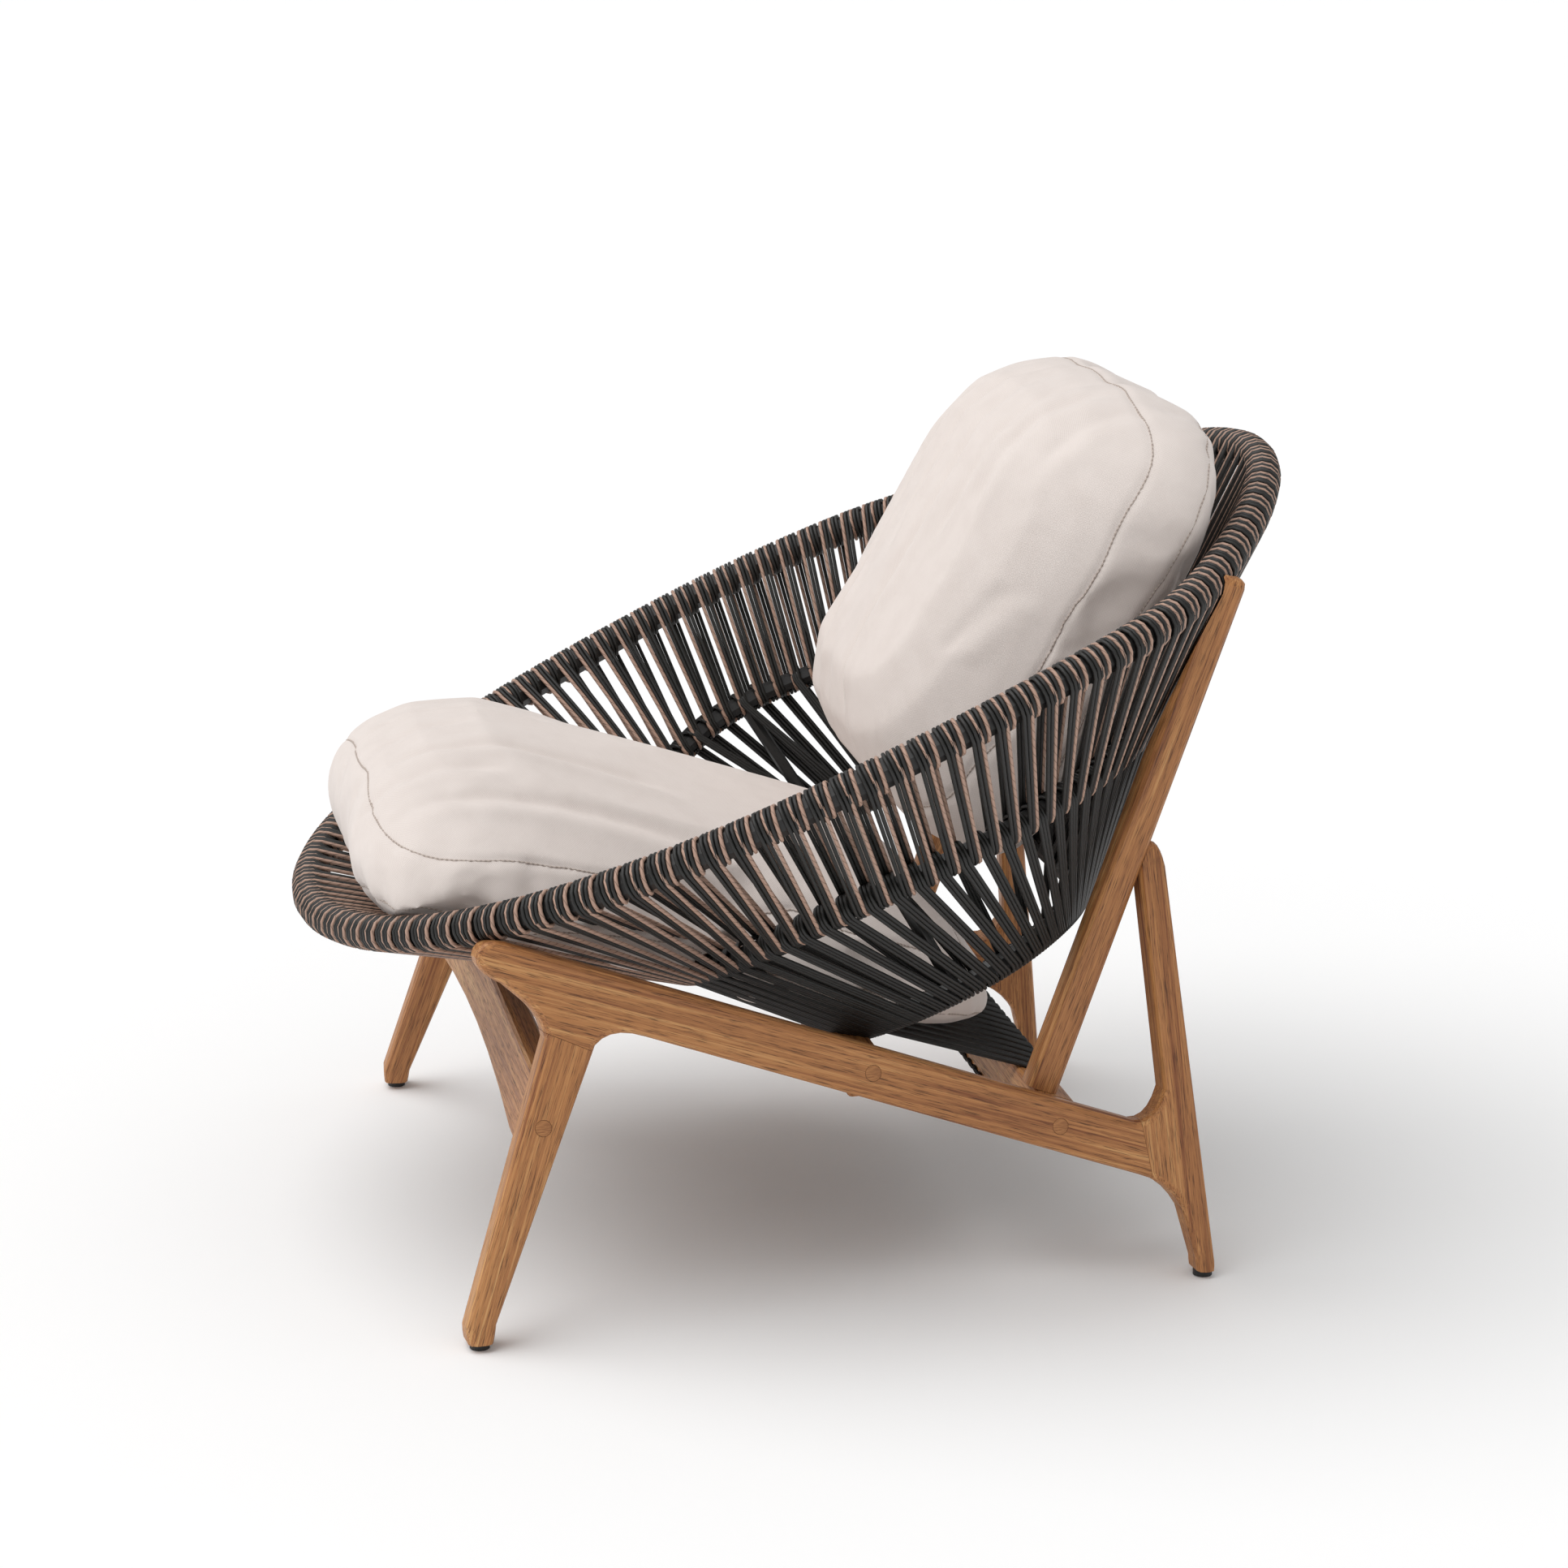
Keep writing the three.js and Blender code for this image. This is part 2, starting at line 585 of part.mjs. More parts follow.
const wholeSide = board(sideOutline(), boardThickness, boardRound, 5);
const seamHalfGap = fitGap / 2;
const belowFrontSeam = halfSheet(frontSeamAt, frontSeamUp, frontSeamTurn + 180)
  .translate(-Math.sin(radians(frontSeamTurn)) * seamHalfGap, Math.cos(radians(frontSeamTurn)) * seamHalfGap, 0);
const aboveFrontSeam = halfSheet(frontSeamAt, frontSeamUp, frontSeamTurn)
  .translate(Math.sin(radians(frontSeamTurn)) * seamHalfGap, -Math.cos(radians(frontSeamTurn)) * seamHalfGap, 0);
const seamRise = railMid(rearSeamAt);
const behindRearSeam = halfSheet(rearSeamAt - seamHalfGap, seamRise, rearSeamTurn);
const beforeRearSeam = halfSheet(rearSeamAt + seamHalfGap, seamRise, rearSeamTurn + 180);

// The block that takes away the rail and rear leg when the front leg is kept.
const keepFrontOnly = [aboveFrontSeam,
  new THREE.BoxGeometry(sheetSpan, sheetSpan, sheetSpan).translate(sheetSpan / 2 + frontSeamAt + frontSeamWidth * 0.6, 0, 0)];
const rimClear = hoopTube(rimCurve, hoopOutside(rimHoop) + 2 * fitGap, hoopSteps, 12);
const midClear = hoopTube(midCurve, hoopOutside(midHoop) + 2 * fitGap, hoopSteps, 12);

// A solid ring along a woven wall, between two distances out of its hoops.
function wallRing([upper, lower], [from, to], start, end) {
  const closed = start === 0;
  const steps = Math.round(hoopSteps * (end - start));
  return skin((share) => {
    const down = lower.getPoint(share).sub(upper.getPoint(share));
    const [top, low] = [skinAxes(upper, share, down), skinAxes(lower, share, down)];
    const reach = ({ centre, out }, distance) => centre.clone().addScaledVector(out, distance);
    return [reach(top, from), reach(top, to), reach(low, to), reach(low, from)];
  }, start, end, steps, closed);
}

const upperPair = [rimCurve, midCurve];
const lowerPair = [midCurve, lowCurve];
const lowFrom = lowHoopOpen / 360;
const lowSteps = Math.round(hoopSteps * (1 - 2 * lowFrom));
const lowOpenCurve = new HoopCurve(lowHoop, lowFrom, 1 - lowFrom);
const wallInside = wallRing(upperPair, [-postSize * 1.5, hoopOutside(rimHoop) + 2 * fitGap], 0, 1);
const outsideBasket = [rimClear, midClear, wallInside];

const sideWood = {
  side_rail: cutBy(wholeSide, [belowFrontSeamOnly(), behindRearSeam, ...dowelBores,
    ...localBores(['middle', 'rear']), ...outsideBasket.map((g) => g.clone().applyMatrix4(toSide))]),
  front_leg: cutBy(wholeSide, [...keepFrontOnly, ...dowelBores, ...localBores(['front']),
    ...toeCutters(gliderSpots.front)]),
  rear_leg: cutBy(wholeSide, [beforeRearSeam, ...dowelBores, legBore.clone().applyMatrix4(toSide),
    postBar(fitGap, 0).applyMatrix4(toSide), ...toeCutters(gliderSpots.rear)]),
};

// Only the front leg's side of the front seam, so the rear leg's foot is left alone.
function belowFrontSeamOnly() {
  const rearPart = new THREE.BoxGeometry(sheetSpan, sheetSpan, sheetSpan)
    .translate(sheetSpan / 2 + frontSeamAt + frontSeamWidth, 0, 0);
  return toGeometry(toSolid(belowFrontSeam).subtract(toSolid(rearPart)));
}

// ---- Stretchers ----

const innerFace = (at, up) => onSide(at, up, -halfBoard);

// A bar along X between the side frames, ended square to their inner faces.
function stretcher(shape, spec) {
  const middle = onSide(spec.at, spec.up);
  const bar = board3(shape, 2 * sheetSpan / 3)
    .rotateX(radians(-spec.tilt)).translate(0, middle.y, middle.z);
  const outside = new THREE.BoxGeometry(sheetSpan, sheetSpan, sheetSpan)
    .translate(0, 0, sheetSpan / 2 - halfBoard - fitGap);
  const right = outside.clone().applyMatrix4(sideMatrix);
  return cutBy(bar, [right, mirrored(right)]);
}

// Bar along X from a section drawn with Y as depth and Z as height.
function board3(shape, length) {
  return new THREE.ExtrudeGeometry(shape, { depth: length, bevelEnabled: false, curveSegments: 3 })
    .translate(0, 0, -length / 2)
    .applyMatrix4(new THREE.Matrix4().makeBasis(
      new THREE.Vector3(0, 1, 0), new THREE.Vector3(0, 0, 1), new THREE.Vector3(1, 0, 0)));
}

// Front stretcher: a board between the legs with a shallow arch along its lower edge.
function archedStretcher() {
  const { wide, high, arch, tilt, at, up } = frontStretcher;
  const middle = onSide(at, up);
  const half = sheetSpan / 3;
  const shape = new THREE.Shape();
  shape.moveTo(-half, -high / 2).lineTo(-sideOffset * 0.8, -high / 2);
  shape.quadraticCurveTo(0, -high / 2 + 2 * arch, sideOffset * 0.8, -high / 2);
  shape.lineTo(half, -high / 2).lineTo(half, high / 2).lineTo(-half, high / 2).lineTo(-half, -high / 2);
  const flat = board(shape, wide, stretcherRound)
    .applyMatrix4(new THREE.Matrix4().makeBasis(
      new THREE.Vector3(1, 0, 0), new THREE.Vector3(0, 0, 1), new THREE.Vector3(0, -1, 0)))
    .rotateX(radians(tilt)).translate(0, middle.y, middle.z);
  const outside = new THREE.BoxGeometry(sheetSpan, sheetSpan, sheetSpan)
    .translate(0, 0, sheetSpan / 2 - halfBoard - fitGap).applyMatrix4(sideMatrix);
  return cutBy(flat, [outside, mirrored(outside), railBore.front, mirrored(railBore.front)]);
}

const socketFrom = lowFrom - 0.006;
const socketCurve = new HoopCurve(lowHoop, socketFrom, 1 - socketFrom);
const lowClear = openTube(socketCurve, hoopOutside(lowHoop) + fitGap, lowSteps, 12);
const lowWallClear = skin((share) => lowerSection(share, fitGap), socketFrom, 1 - socketFrom, lowSteps, false);
const underBasket = [lowClear, lowWallClear];
const lowSocket = openTube(socketCurve, lowHoop.tube + 3 * fitGap, lowSteps, 12);
const middleClear = stretcher(roundedBox(middleStretcher.wide + 2 * fitGap, middleStretcher.high + 2 * fitGap,
  stretcherRound), middleStretcher);

const bars = {
  front_stretcher: archedStretcher(),
  middle_stretcher: cutBy(
    stretcher(roundedBox(middleStretcher.wide, middleStretcher.high, stretcherRound), middleStretcher),
    [railBore.middle, mirrored(railBore.middle), lowSocket]),
  rear_stretcher: cutBy(
    stretcher(roundedBox(rearStretcher.wide, rearStretcher.high, stretcherRound), rearStretcher),
    [railBore.rear, mirrored(railBore.rear)]),
};

// Post cut at its foot to sit on the rear stretcher, and saddled to the basket.
const stretcherUpper = board3(roundedBox(rearStretcher.wide * 4, rearStretcher.high + 2 * fitGap, stretcherRound), sheetSpan)
  .rotateX(radians(-rearStretcher.tilt)).translate(0, rearMidPoint.y, rearMidPoint.z);
const postWood = cutBy(postBar(0, 0), [stretcherUpper, postBore, legBore, ...outsideBasket]);

// ---- Woven deck under the seat cushion ----

// Points along the deck, from the middle hoop over the middle stretcher to the rear stretcher.
const deckFront = midCurve.getPoint(0);
const middleTop = onSide(middleStretcher.at, middleStretcher.up + middleStretcher.high / 2);
const deckPath = [
  { y: deckFront.y + hoopOutside(midHoop) + 2 * fitGap, z: deckFront.z - deck.sheet / 2 },
  { y: middleTop.y - middleStretcher.wide / 2, z: middleTop.z + deck.lift },
  { y: middleTop.y + middleStretcher.wide / 2, z: middleTop.z + deck.lift - 2 },
  { y: rearMidPoint.y - rearStretcher.wide / 2, z: stretcherTopAt(rearMidPoint.y - rearStretcher.wide / 2) + fitGap },
];

function deckSection(side) {
  const span = deckPath.at(-1).y - deckPath[0].y;
  const place = ({ y, z }, lift) => {
    const half = THREE.MathUtils.lerp(deck.frontHalf, deck.rearHalf, (y - deckPath[0].y) / span);
    return new THREE.Vector3(side * half, y, z + lift);
  };
  return [...deckPath.map((p) => place(p, fitGap)), ...deckPath.toReversed().map((p) => place(p, fitGap + deck.sheet))];
}

// ---- Cushions: rounded pads shaped from a sphere ----

function padFrom(place) {
  const geometry = welded(new THREE.SphereGeometry(1, 28, 14));
  const position = geometry.getAttribute('position');
  const point = new THREE.Vector3();
  for (let i = 0; i < position.count; i += 1) {
    point.fromBufferAttribute(position, i);
    place(point);
    position.setXYZ(i, point.x, point.y, point.z);
  }
  return outwardFacing(geometry);
}

const powered = (value, power) => Math.sign(value) * Math.abs(value) ** power;

// Splits a unit-sphere point into a squarish plan place and a thickness share.
function padShares(point, sharp) {
  const [x, y, z] = [point.x, point.z, point.y];
  const flat = Math.hypot(x, y) || 1e-9;
  const [cx, cy] = [x / flat, y / flat];
  const squared = [powered(cx, sharp), powered(cy, sharp)];
  const round = flat ** 0.42;
  return { across: squared[0] * round, along: squared[1] * round, thick: powered(z, 0.6) };
}

// Height of what carries the seat cushion, along the chair.
const seatBed = [
  { y: -2 * sheetSpan, z: rimCurve.getPoint(0).z + 6 },
  { y: rimCurve.getPoint(0).y, z: rimCurve.getPoint(0).z + 6 },
  { y: deckFront.y, z: deckFront.z + midHoop.tube + cordThickness },
  { y: deckPath[1].y, z: deckPath[1].z + deck.sheet },
  { y: deckPath[2].y, z: deckPath[2].z + deck.sheet },
  { y: deckPath[3].y, z: deckPath[3].z + deck.sheet },
  { y: deckPath[3].y + sheetSpan, z: deckPath[3].z + deck.sheet + sheetSpan * -0.2 },
];

function bedHeight(y) {
  const i = Math.max(1, seatBed.findIndex((p) => p.y > y));
  const [a, b] = [seatBed[i - 1], seatBed[i]];
  return THREE.MathUtils.lerp(a.z, b.z, (y - a.y) / (b.y - a.y)) + seatCushion.lift;
}

function seatPad() {
  const c = seatCushion;
  return padFrom((point) => {
    const { across, along: length, thick } = padShares(point, c.sharp);
    const share = (length + 1) / 2;
    const y = THREE.MathUtils.lerp(c.front, c.rear, share);
    const half = THREE.MathUtils.lerp(c.frontHalf, c.rearHalf, share);
    const border = THREE.MathUtils.lerp(c.borderFront, c.borderRear, share);
    const crown = THREE.MathUtils.lerp(c.crownFront, c.crownRear, share) * (1 - across * across) * (1 - length ** 4);
    const middle = bedHeight(y) + border / 2;
    point.set(across * half, y, middle + thick * (border / 2 + (thick > 0 ? crown : 0)));
  });
}

function backPad() {
  const c = backCushion;
  const turn = radians(c.recline);
  return padFrom((point) => {
    const { across, along: length, thick } = padShares(point, c.sharp);
    const share = (length + 1) / 2;
    const half = THREE.MathUtils.lerp(c.lowHalf, c.highHalf, share);
    const rise = share * (c.length + c.topBow * (1 - across * across));
    const crownFront = THREE.MathUtils.lerp(c.crownLow, c.crownHigh, share) * (1 - length ** 6);
    const crown = (thick > 0 ? c.crownRear : crownFront) * (1 - across ** 4);
    const depth = c.border / 2 + thick * (c.border / 2 + crown);
    point.set(across * half,
      c.footY + rise * Math.sin(turn) + depth * Math.cos(turn),
      c.footZ + rise * Math.cos(turn) - depth * Math.sin(turn));
  });
}

// ---- Ribs between the middle and lower hoops ----

function rib(degrees) {
  const share = degrees / 360;
  const [top, bottom] = [midCurve.getPoint(share), lowCurve.getPoint(share)];
  const way = bottom.clone().sub(top).normalize();
  const start = top.clone().addScaledVector(way, midHoop.tube + fitGap * 2);
  const end = bottom.clone().addScaledVector(way, -lowHoop.tube - fitGap * 3);
  return openTube(new THREE.LineCurve3(start, end), ribRadius, 1);
}

// ---- Assembly ----

const chair = new THREE.Group();
const basket = new THREE.Group();
const cushions = new THREE.Group();

for (const side of ['left', 'right']) {
  const group = new THREE.Group();
  const shaped = (geometry) => (side === 'left' ? geometry.clone() : mirrored(geometry));
  const add = (name, geometry, material) => group.add(piece(`${name}_${side}`, shaped(geometry), material));

  for (const [name, geometry] of Object.entries(sideWood)) {
    add(name, geometry.clone().applyMatrix4(sideMatrix), teak);
  }
  add('back_post', postWood, teak);
  for (const [place, matrix] of Object.entries(plugPlaces)) {
    add(`plug_${place}`, plugSolid().applyMatrix4(matrix), plugTeak);
    add(`bolt_${place}`, boltSolid(railBoltLength).applyMatrix4(matrix), zincSteel);
  }
  add('plug_post_top', plugSolid().applyMatrix4(postPlug), plugTeak);
  add('bolt_post_top', boltSolid(postBoltLength).applyMatrix4(postPlug), zincSteel);
  add('plug_leg_top', plugSolid().applyMatrix4(legPlug), plugTeak);
  add('bolt_leg_top', boltSolid(legBoltLength).applyMatrix4(legPlug), zincSteel);
  for (const [name, matrix] of Object.entries(seamDowels)) {
    add(`dowel_${name}`, dowelSolid().applyMatrix4(matrix).applyMatrix4(sideMatrix), plugTeak);
  }
  for (const [place, spot] of Object.entries(gliderSpots)) {
    add(`glide_${place}`, gliderSolid().translate(spot.x, spot.y, 0), blackPlastic);
  }
  chair.add(group);
  ribAngles.forEach((degrees, i) => {
    basket.add(piece(`basket_rib_${i === 0 ? 'side' : 'back'}_${side}`, shaped(rib(degrees)), blackSteel));
  });
}

for (const [name, geometry] of Object.entries(bars)) chair.add(piece(name, geometry, teak));

basket.add(piece('rim_hoop', hoopTube(rimCurve, rimHoop.tube, hoopSteps), blackSteel));
basket.add(piece('middle_hoop', hoopTube(midCurve, midHoop.tube, hoopSteps), blackSteel));
basket.add(piece('lower_hoop', outwardFacing(welded(openTube(lowOpenCurve, lowHoop.tube, lowSteps))), blackSteel));
const postBores = [postBore, mirrored(postBore)];
for (const [name, [from, to]] of Object.entries(middlePanels)) {
  basket.add(piece(name, cutBy(panel(upperSection, from, to), postBores), rope));
}
for (const [name, [from, to]] of Object.entries(leftPanels)) {
  const left = cutBy(panel(upperSection, from, to), postBores);
  basket.add(piece(`${name}_left`, left, rope), piece(`${name}_right`, mirrored(left), rope));
}
const lowerLeft = cutBy(panel(lowerSection, ...lowerLeftPanel), [middleClear]);
basket.add(piece('lower_wall_left', lowerLeft, rope), piece('lower_wall_right', mirrored(lowerLeft), rope));
basket.add(piece('lower_wall_back', cutBy(panel(lowerSection, ...lowerBackPanel), [middleClear]), rope));
basket.add(piece('woven_seat_deck', cutBy(skin(deckSection, -1, 1, 1, false), underBasket), rope));
chair.add(basket);

const cushionClear = (curve, hoop) => openTube(curve, hoopOutside(hoop) + cushionGap, hoopSteps, 12);
const liftOutDepth = 100;          // below the middle hoop

// The space straight under a hoop, left open so that a cushion lifts out past it.
function underHoop(curve, halfWidth) {
  const drop = new THREE.Vector3(0, 0, -liftOutDepth);
  return skin((share) => {
    const aside = curve.getTangent(share).setZ(0).normalize().cross(drop).setLength(halfWidth);
    const [one, other] = [curve.getPoint(share).add(aside), curve.getPoint(share).sub(aside)];
    return [one, other, other.clone().add(drop), one.clone().add(drop)];
  }, 0, 1, hoopSteps, true);
}

// A pad dented by the basket it lies in, without the crumbs that a cut can leave.
function pressedPad(pad, dents) {
  const [whole] = toSolid(cutBy(pad, dents)).decompose().toSorted((a, b) => b.volume() - a.volume());
  return toGeometry(whole);
}

const basketClear = [
  underHoop(midCurve, hoopOutside(midHoop) + cushionGap),
  hoopTube(rimCurve, hoopOutside(rimHoop) + cushionGap, hoopSteps, 12),
  hoopTube(midCurve, hoopOutside(midHoop) + cushionGap, hoopSteps, 12),
  cushionClear(lowOpenCurve, lowHoop),
  wallRing(upperPair, [midHoop.tube - cushionGap, rimHoop.tube * 8], 0, 1),
  wallRing(lowerPair, [midHoop.tube - cushionGap, midHoop.tube * 8], lowFrom, 1 - lowFrom),
];
cushions.add(piece('seat_cushion', pressedPad(seatPad(), basketClear), fabric));
cushions.add(piece('back_cushion', pressedPad(backPad(), basketClear), fabric));
chair.add(cushions);

// The origin is under the middle of the chair, on the floor.
const bounds = new THREE.Box3().setFromObject(chair, true);
chair.position.y = -(bounds.min.y + bounds.max.y) / 2;
chair.updateMatrixWorld(true);

export default chair;
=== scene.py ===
import bpy
import bmesh
import json
import math
import numpy as np
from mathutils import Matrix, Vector
from mathutils.bvhtree import BVHTree

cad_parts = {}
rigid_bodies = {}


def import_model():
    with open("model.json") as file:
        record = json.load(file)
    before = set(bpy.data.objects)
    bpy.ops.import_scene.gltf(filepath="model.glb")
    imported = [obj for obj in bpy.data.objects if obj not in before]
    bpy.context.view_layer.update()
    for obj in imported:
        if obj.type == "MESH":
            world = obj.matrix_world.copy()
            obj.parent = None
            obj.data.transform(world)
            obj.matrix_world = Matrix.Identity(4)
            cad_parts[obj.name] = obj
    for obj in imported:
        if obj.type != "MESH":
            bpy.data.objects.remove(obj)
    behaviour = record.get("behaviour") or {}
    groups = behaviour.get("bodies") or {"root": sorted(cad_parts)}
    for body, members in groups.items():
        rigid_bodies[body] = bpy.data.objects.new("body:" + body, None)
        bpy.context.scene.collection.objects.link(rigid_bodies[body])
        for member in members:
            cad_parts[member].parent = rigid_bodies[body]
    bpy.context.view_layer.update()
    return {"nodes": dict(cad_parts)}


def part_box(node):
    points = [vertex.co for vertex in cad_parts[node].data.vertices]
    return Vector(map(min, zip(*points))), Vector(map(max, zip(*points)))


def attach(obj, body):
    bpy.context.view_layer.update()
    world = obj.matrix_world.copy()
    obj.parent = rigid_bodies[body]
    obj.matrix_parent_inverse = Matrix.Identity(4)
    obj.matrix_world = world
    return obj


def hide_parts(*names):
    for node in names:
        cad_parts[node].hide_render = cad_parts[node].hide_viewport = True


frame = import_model()
mm = 0.001
print("frame loaded:", len(frame["nodes"]), "nodes")


# ---- camera, lights and floor ----

view = {"place": (3.3793, -0.6567, 1.2358), "turn": 11.0, "dip": 14.06, "lens": 91.43,
        "sensor": 36, "reach": 60}

turn, dip = math.radians(view["turn"]), math.radians(view["dip"])
looking = Vector((-math.cos(turn) * math.cos(dip), math.sin(turn) * math.cos(dip),
                  -math.sin(dip)))
camera = bpy.data.objects.new("camera", bpy.data.cameras.new("camera"))
camera.location = view["place"]
camera.rotation_euler = looking.to_track_quat("-Z", "Y").to_euler()
camera.data.lens = view["lens"]
camera.data.sensor_width = view["sensor"]
camera.data.clip_end = view["reach"]
bpy.context.collection.objects.link(camera)
bpy.context.scene.camera = camera

suns = {
    # name: comes from, spread in degrees, strength, colour
    "overhead": ((-0.1, -0.5, 1.0), 65, 1.75, "ffffff"),
    "nearSide": ((1.0, -0.7, 0.55), 90, 0.3, "ffffff"),
}


def linear(hexColour):
    # an sRGB hex colour as linear light, with full alpha
    channels = [int(hexColour[i:i + 2], 16) / 255 for i in (0, 2, 4)]
    light = [c / 12.92 if c <= 0.04045 else ((c + 0.055) / 1.055) ** 2.4 for c in channels]
    return tuple(light) + (1.0,)


for name, (source, spread, strength, colour) in suns.items():
    sun = bpy.data.lights.new(name, "SUN")
    sun.angle = math.radians(spread)
    sun.energy = strength
    sun.color = linear(colour)[:3]
    holder = bpy.data.objects.new(name, sun)
    holder.rotation_euler = Vector(source).to_track_quat("Z", "Y").to_euler()
    holder.location = Vector(source) * 3
    bpy.context.collection.objects.link(holder)

sky = {"colour": "ffffff", "strength": 0.52}
world = bpy.data.worlds.new("studio")
bpy.context.scene.world = world
world.use_nodes = True
background = world.node_tree.nodes["Background"]
background.inputs["Color"].default_value = linear(sky["colour"])
background.inputs["Strength"].default_value = sky["strength"]
bpy.context.scene.view_settings.view_transform = "Standard"


# ---- materials ----

def add(material, kind, settings=None, links=None):
    # one node, its settings, and what feeds its sockets
    node = material.node_tree.nodes.new(kind)
    for key, value in (settings or {}).items():
        if isinstance(key, int) or key in node.inputs:
            node.inputs[key].default_value = value
        else:
            setattr(node, key, value)
    for socket, source in (links or {}).items():
        material.node_tree.links.new(source, node.inputs[socket])
    return node


def newMaterial(name, colour, rough, metallic=0.0, ior=None):
    material = bpy.data.materials.new(name)
    material.use_nodes = True
    shader = material.node_tree.nodes["Principled BSDF"]
    shader.inputs["Base Color"].default_value = linear(colour)
    shader.inputs["Roughness"].default_value = rough
    shader.inputs["Metallic"].default_value = metallic
    if ior:
        shader.inputs["IOR"].default_value = ior
    return material, shader


def ramp(material, source, stops):
    # colours from low to high over a pattern
    node = add(material, "ShaderNodeValToRGB", links={"Fac": source})
    elements = node.color_ramp.elements
    for element, (at, colour) in zip((elements[0], elements[1]), (stops[0], stops[-1])):
        element.position, element.color = at, linear(colour)
    for at, colour in stops[1:-1]:
        elements.new(at).color = linear(colour)
    return node.outputs["Color"]


def bump(material, shader, height, strength, distance):
    node = add(material, "ShaderNodeBump", {"Strength": strength, "Distance": distance},
               {"Height": height})
    material.node_tree.links.new(node.outputs["Normal"], shader.inputs["Normal"])


teak = {
    "dark": "7a4220", "mid": "a0683a", "light": "b67c48", "pale": "cd9a62",
    "pore": "5a4a40", "grainWide": 3.6, "grainLong": 300.0, "poreWide": 0.8, "poreLong": 22.0,
    "cloudWide": 60.0, "cloudLong": 400.0, "rough": 0.5, "plug": "8f5a30",
    "plugDark": "84522b", "plugLight": "b27a48", "plugWide": 1.1, "plugLong": 9.0,
}


def grainTurn(node):
    # Euler angles that lay the mapped X axis along a board
    points = np.array([v.co for v in bpy.data.objects[node].data.vertices])
    spread = points - points.mean(axis=0)
    few = spread[:: max(1, len(spread) // 800)]
    axis = Vector(np.linalg.svd(few, full_matrices=False)[2][0])
    return axis.to_track_quat("X", "Z").to_matrix().inverted().to_euler()


def streaks(wide, long):
    # pattern scale for marks this wide and long in millimetres, running along X
    return (1 / (long * mm), 1 / (wide * mm), 1 / (wide * mm))


def oiledTeak(node, shade=0.0):
    # oiled teak, sawn and sanded: open dark pores and streaky figure along the grain
    material, shader = newMaterial("oiledTeak_" + node, teak["mid"], teak["rough"], ior=1.5)
    where = add(material, "ShaderNodeTexCoord").outputs["Object"]
    place = add(material, "ShaderNodeMapping",
                {"Rotation": grainTurn(node), "vector_type": "POINT"},
                {"Vector": where}).outputs["Vector"]
    stretched = add(material, "ShaderNodeMapping",
                    {"Scale": streaks(teak["grainWide"], teak["grainLong"]),
                     "Location": (shade * 7, shade * 3, shade)}, {"Vector": place})
    figure = add(material, "ShaderNodeTexNoise",
                 {"Scale": 1.0, "Detail": 5.0, "Roughness": 0.62, "Distortion": 0.6},
                 {"Vector": stretched.outputs["Vector"]}).outputs["Fac"]
    fine = add(material, "ShaderNodeMapping",
               {"Scale": streaks(teak["poreWide"], teak["poreLong"])}, {"Vector": place})
    pores = add(material, "ShaderNodeTexNoise", {"Scale": 1.0, "Detail": 3.0, "Roughness": 0.6},
                {"Vector": fine.outputs["Vector"]}).outputs["Fac"]
    broad = add(material, "ShaderNodeMapping",
                {"Scale": streaks(teak["cloudWide"], teak["cloudLong"]),
                 "Location": (shade, 0, 0)}, {"Vector": place})
    cloud = add(material, "ShaderNodeTexNoise", {"Scale": 1.0, "Detail": 1.0},
                {"Vector": broad.outputs["Vector"]}).outputs["Fac"]
    mixed = add(material, "ShaderNodeMath", {"operation": "MULTIPLY_ADD", 1: 0.45},
                {0: cloud, 2: figure}).outputs[0]
    colour = ramp(material, mixed, [(0.5, teak["dark"]), (0.64, teak["mid"]),
                                    (0.78, teak["light"]), (0.94, teak["pale"])])
    poreMask = ramp(material, pores, [(0.32, teak["pore"]), (0.48, "ffffff")])
    tinted = add(material, "ShaderNodeMix",
                 {"data_type": "RGBA", "blend_type": "MULTIPLY", "Factor": 0.85},
                 {"A": colour, "B": poreMask})
    material.node_tree.links.new(tinted.outputs["Result"], shader.inputs["Base Color"])
    gloss = add(material, "ShaderNodeMapRange",
                {"From Min": 0.3, "From Max": 0.7, "To Min": 0.6, "To Max": 0.42},
                {"Value": pores})
    material.node_tree.links.new(gloss.outputs["Result"], shader.inputs["Roughness"])
    bump(material, shader, pores, 0.25, 0.25 * mm)
    return material


def teakPlug(node):
    # teak plugs: the same wood, cut across and a shade darker, with short slanting grain
    low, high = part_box(node)
    middle = [-(a + b) / 2 for a, b in zip(low, high)]
    material, shader = newMaterial("teakPlug_" + node, teak["plug"], 0.55, ior=1.5)
    where = add(material, "ShaderNodeTexCoord").outputs["Object"]
    centred = add(material, "ShaderNodeMapping", {"Location": middle, "vector_type": "POINT"},
                  {"Vector": where})
    wide = 1 / (teak["plugWide"] * mm)
    slant = add(material, "ShaderNodeMapping",
                {"Rotation": (0.5, 0.4, 0.6), "Scale": (wide, 1 / (teak["plugLong"] * mm), wide)},
                {"Vector": centred.outputs["Vector"]})
    rings = add(material, "ShaderNodeTexNoise", {"Scale": 1.0, "Detail": 3.0},
                {"Vector": slant.outputs["Vector"]}).outputs["Fac"]
    colour = ramp(material, rings, [(0.35, teak["plugDark"]), (0.65, teak["plugLight"])])
    material.node_tree.links.new(colour, shader.inputs["Base Color"])
    bump(material, shader, rings, 0.2, 0.2 * mm)
    return material


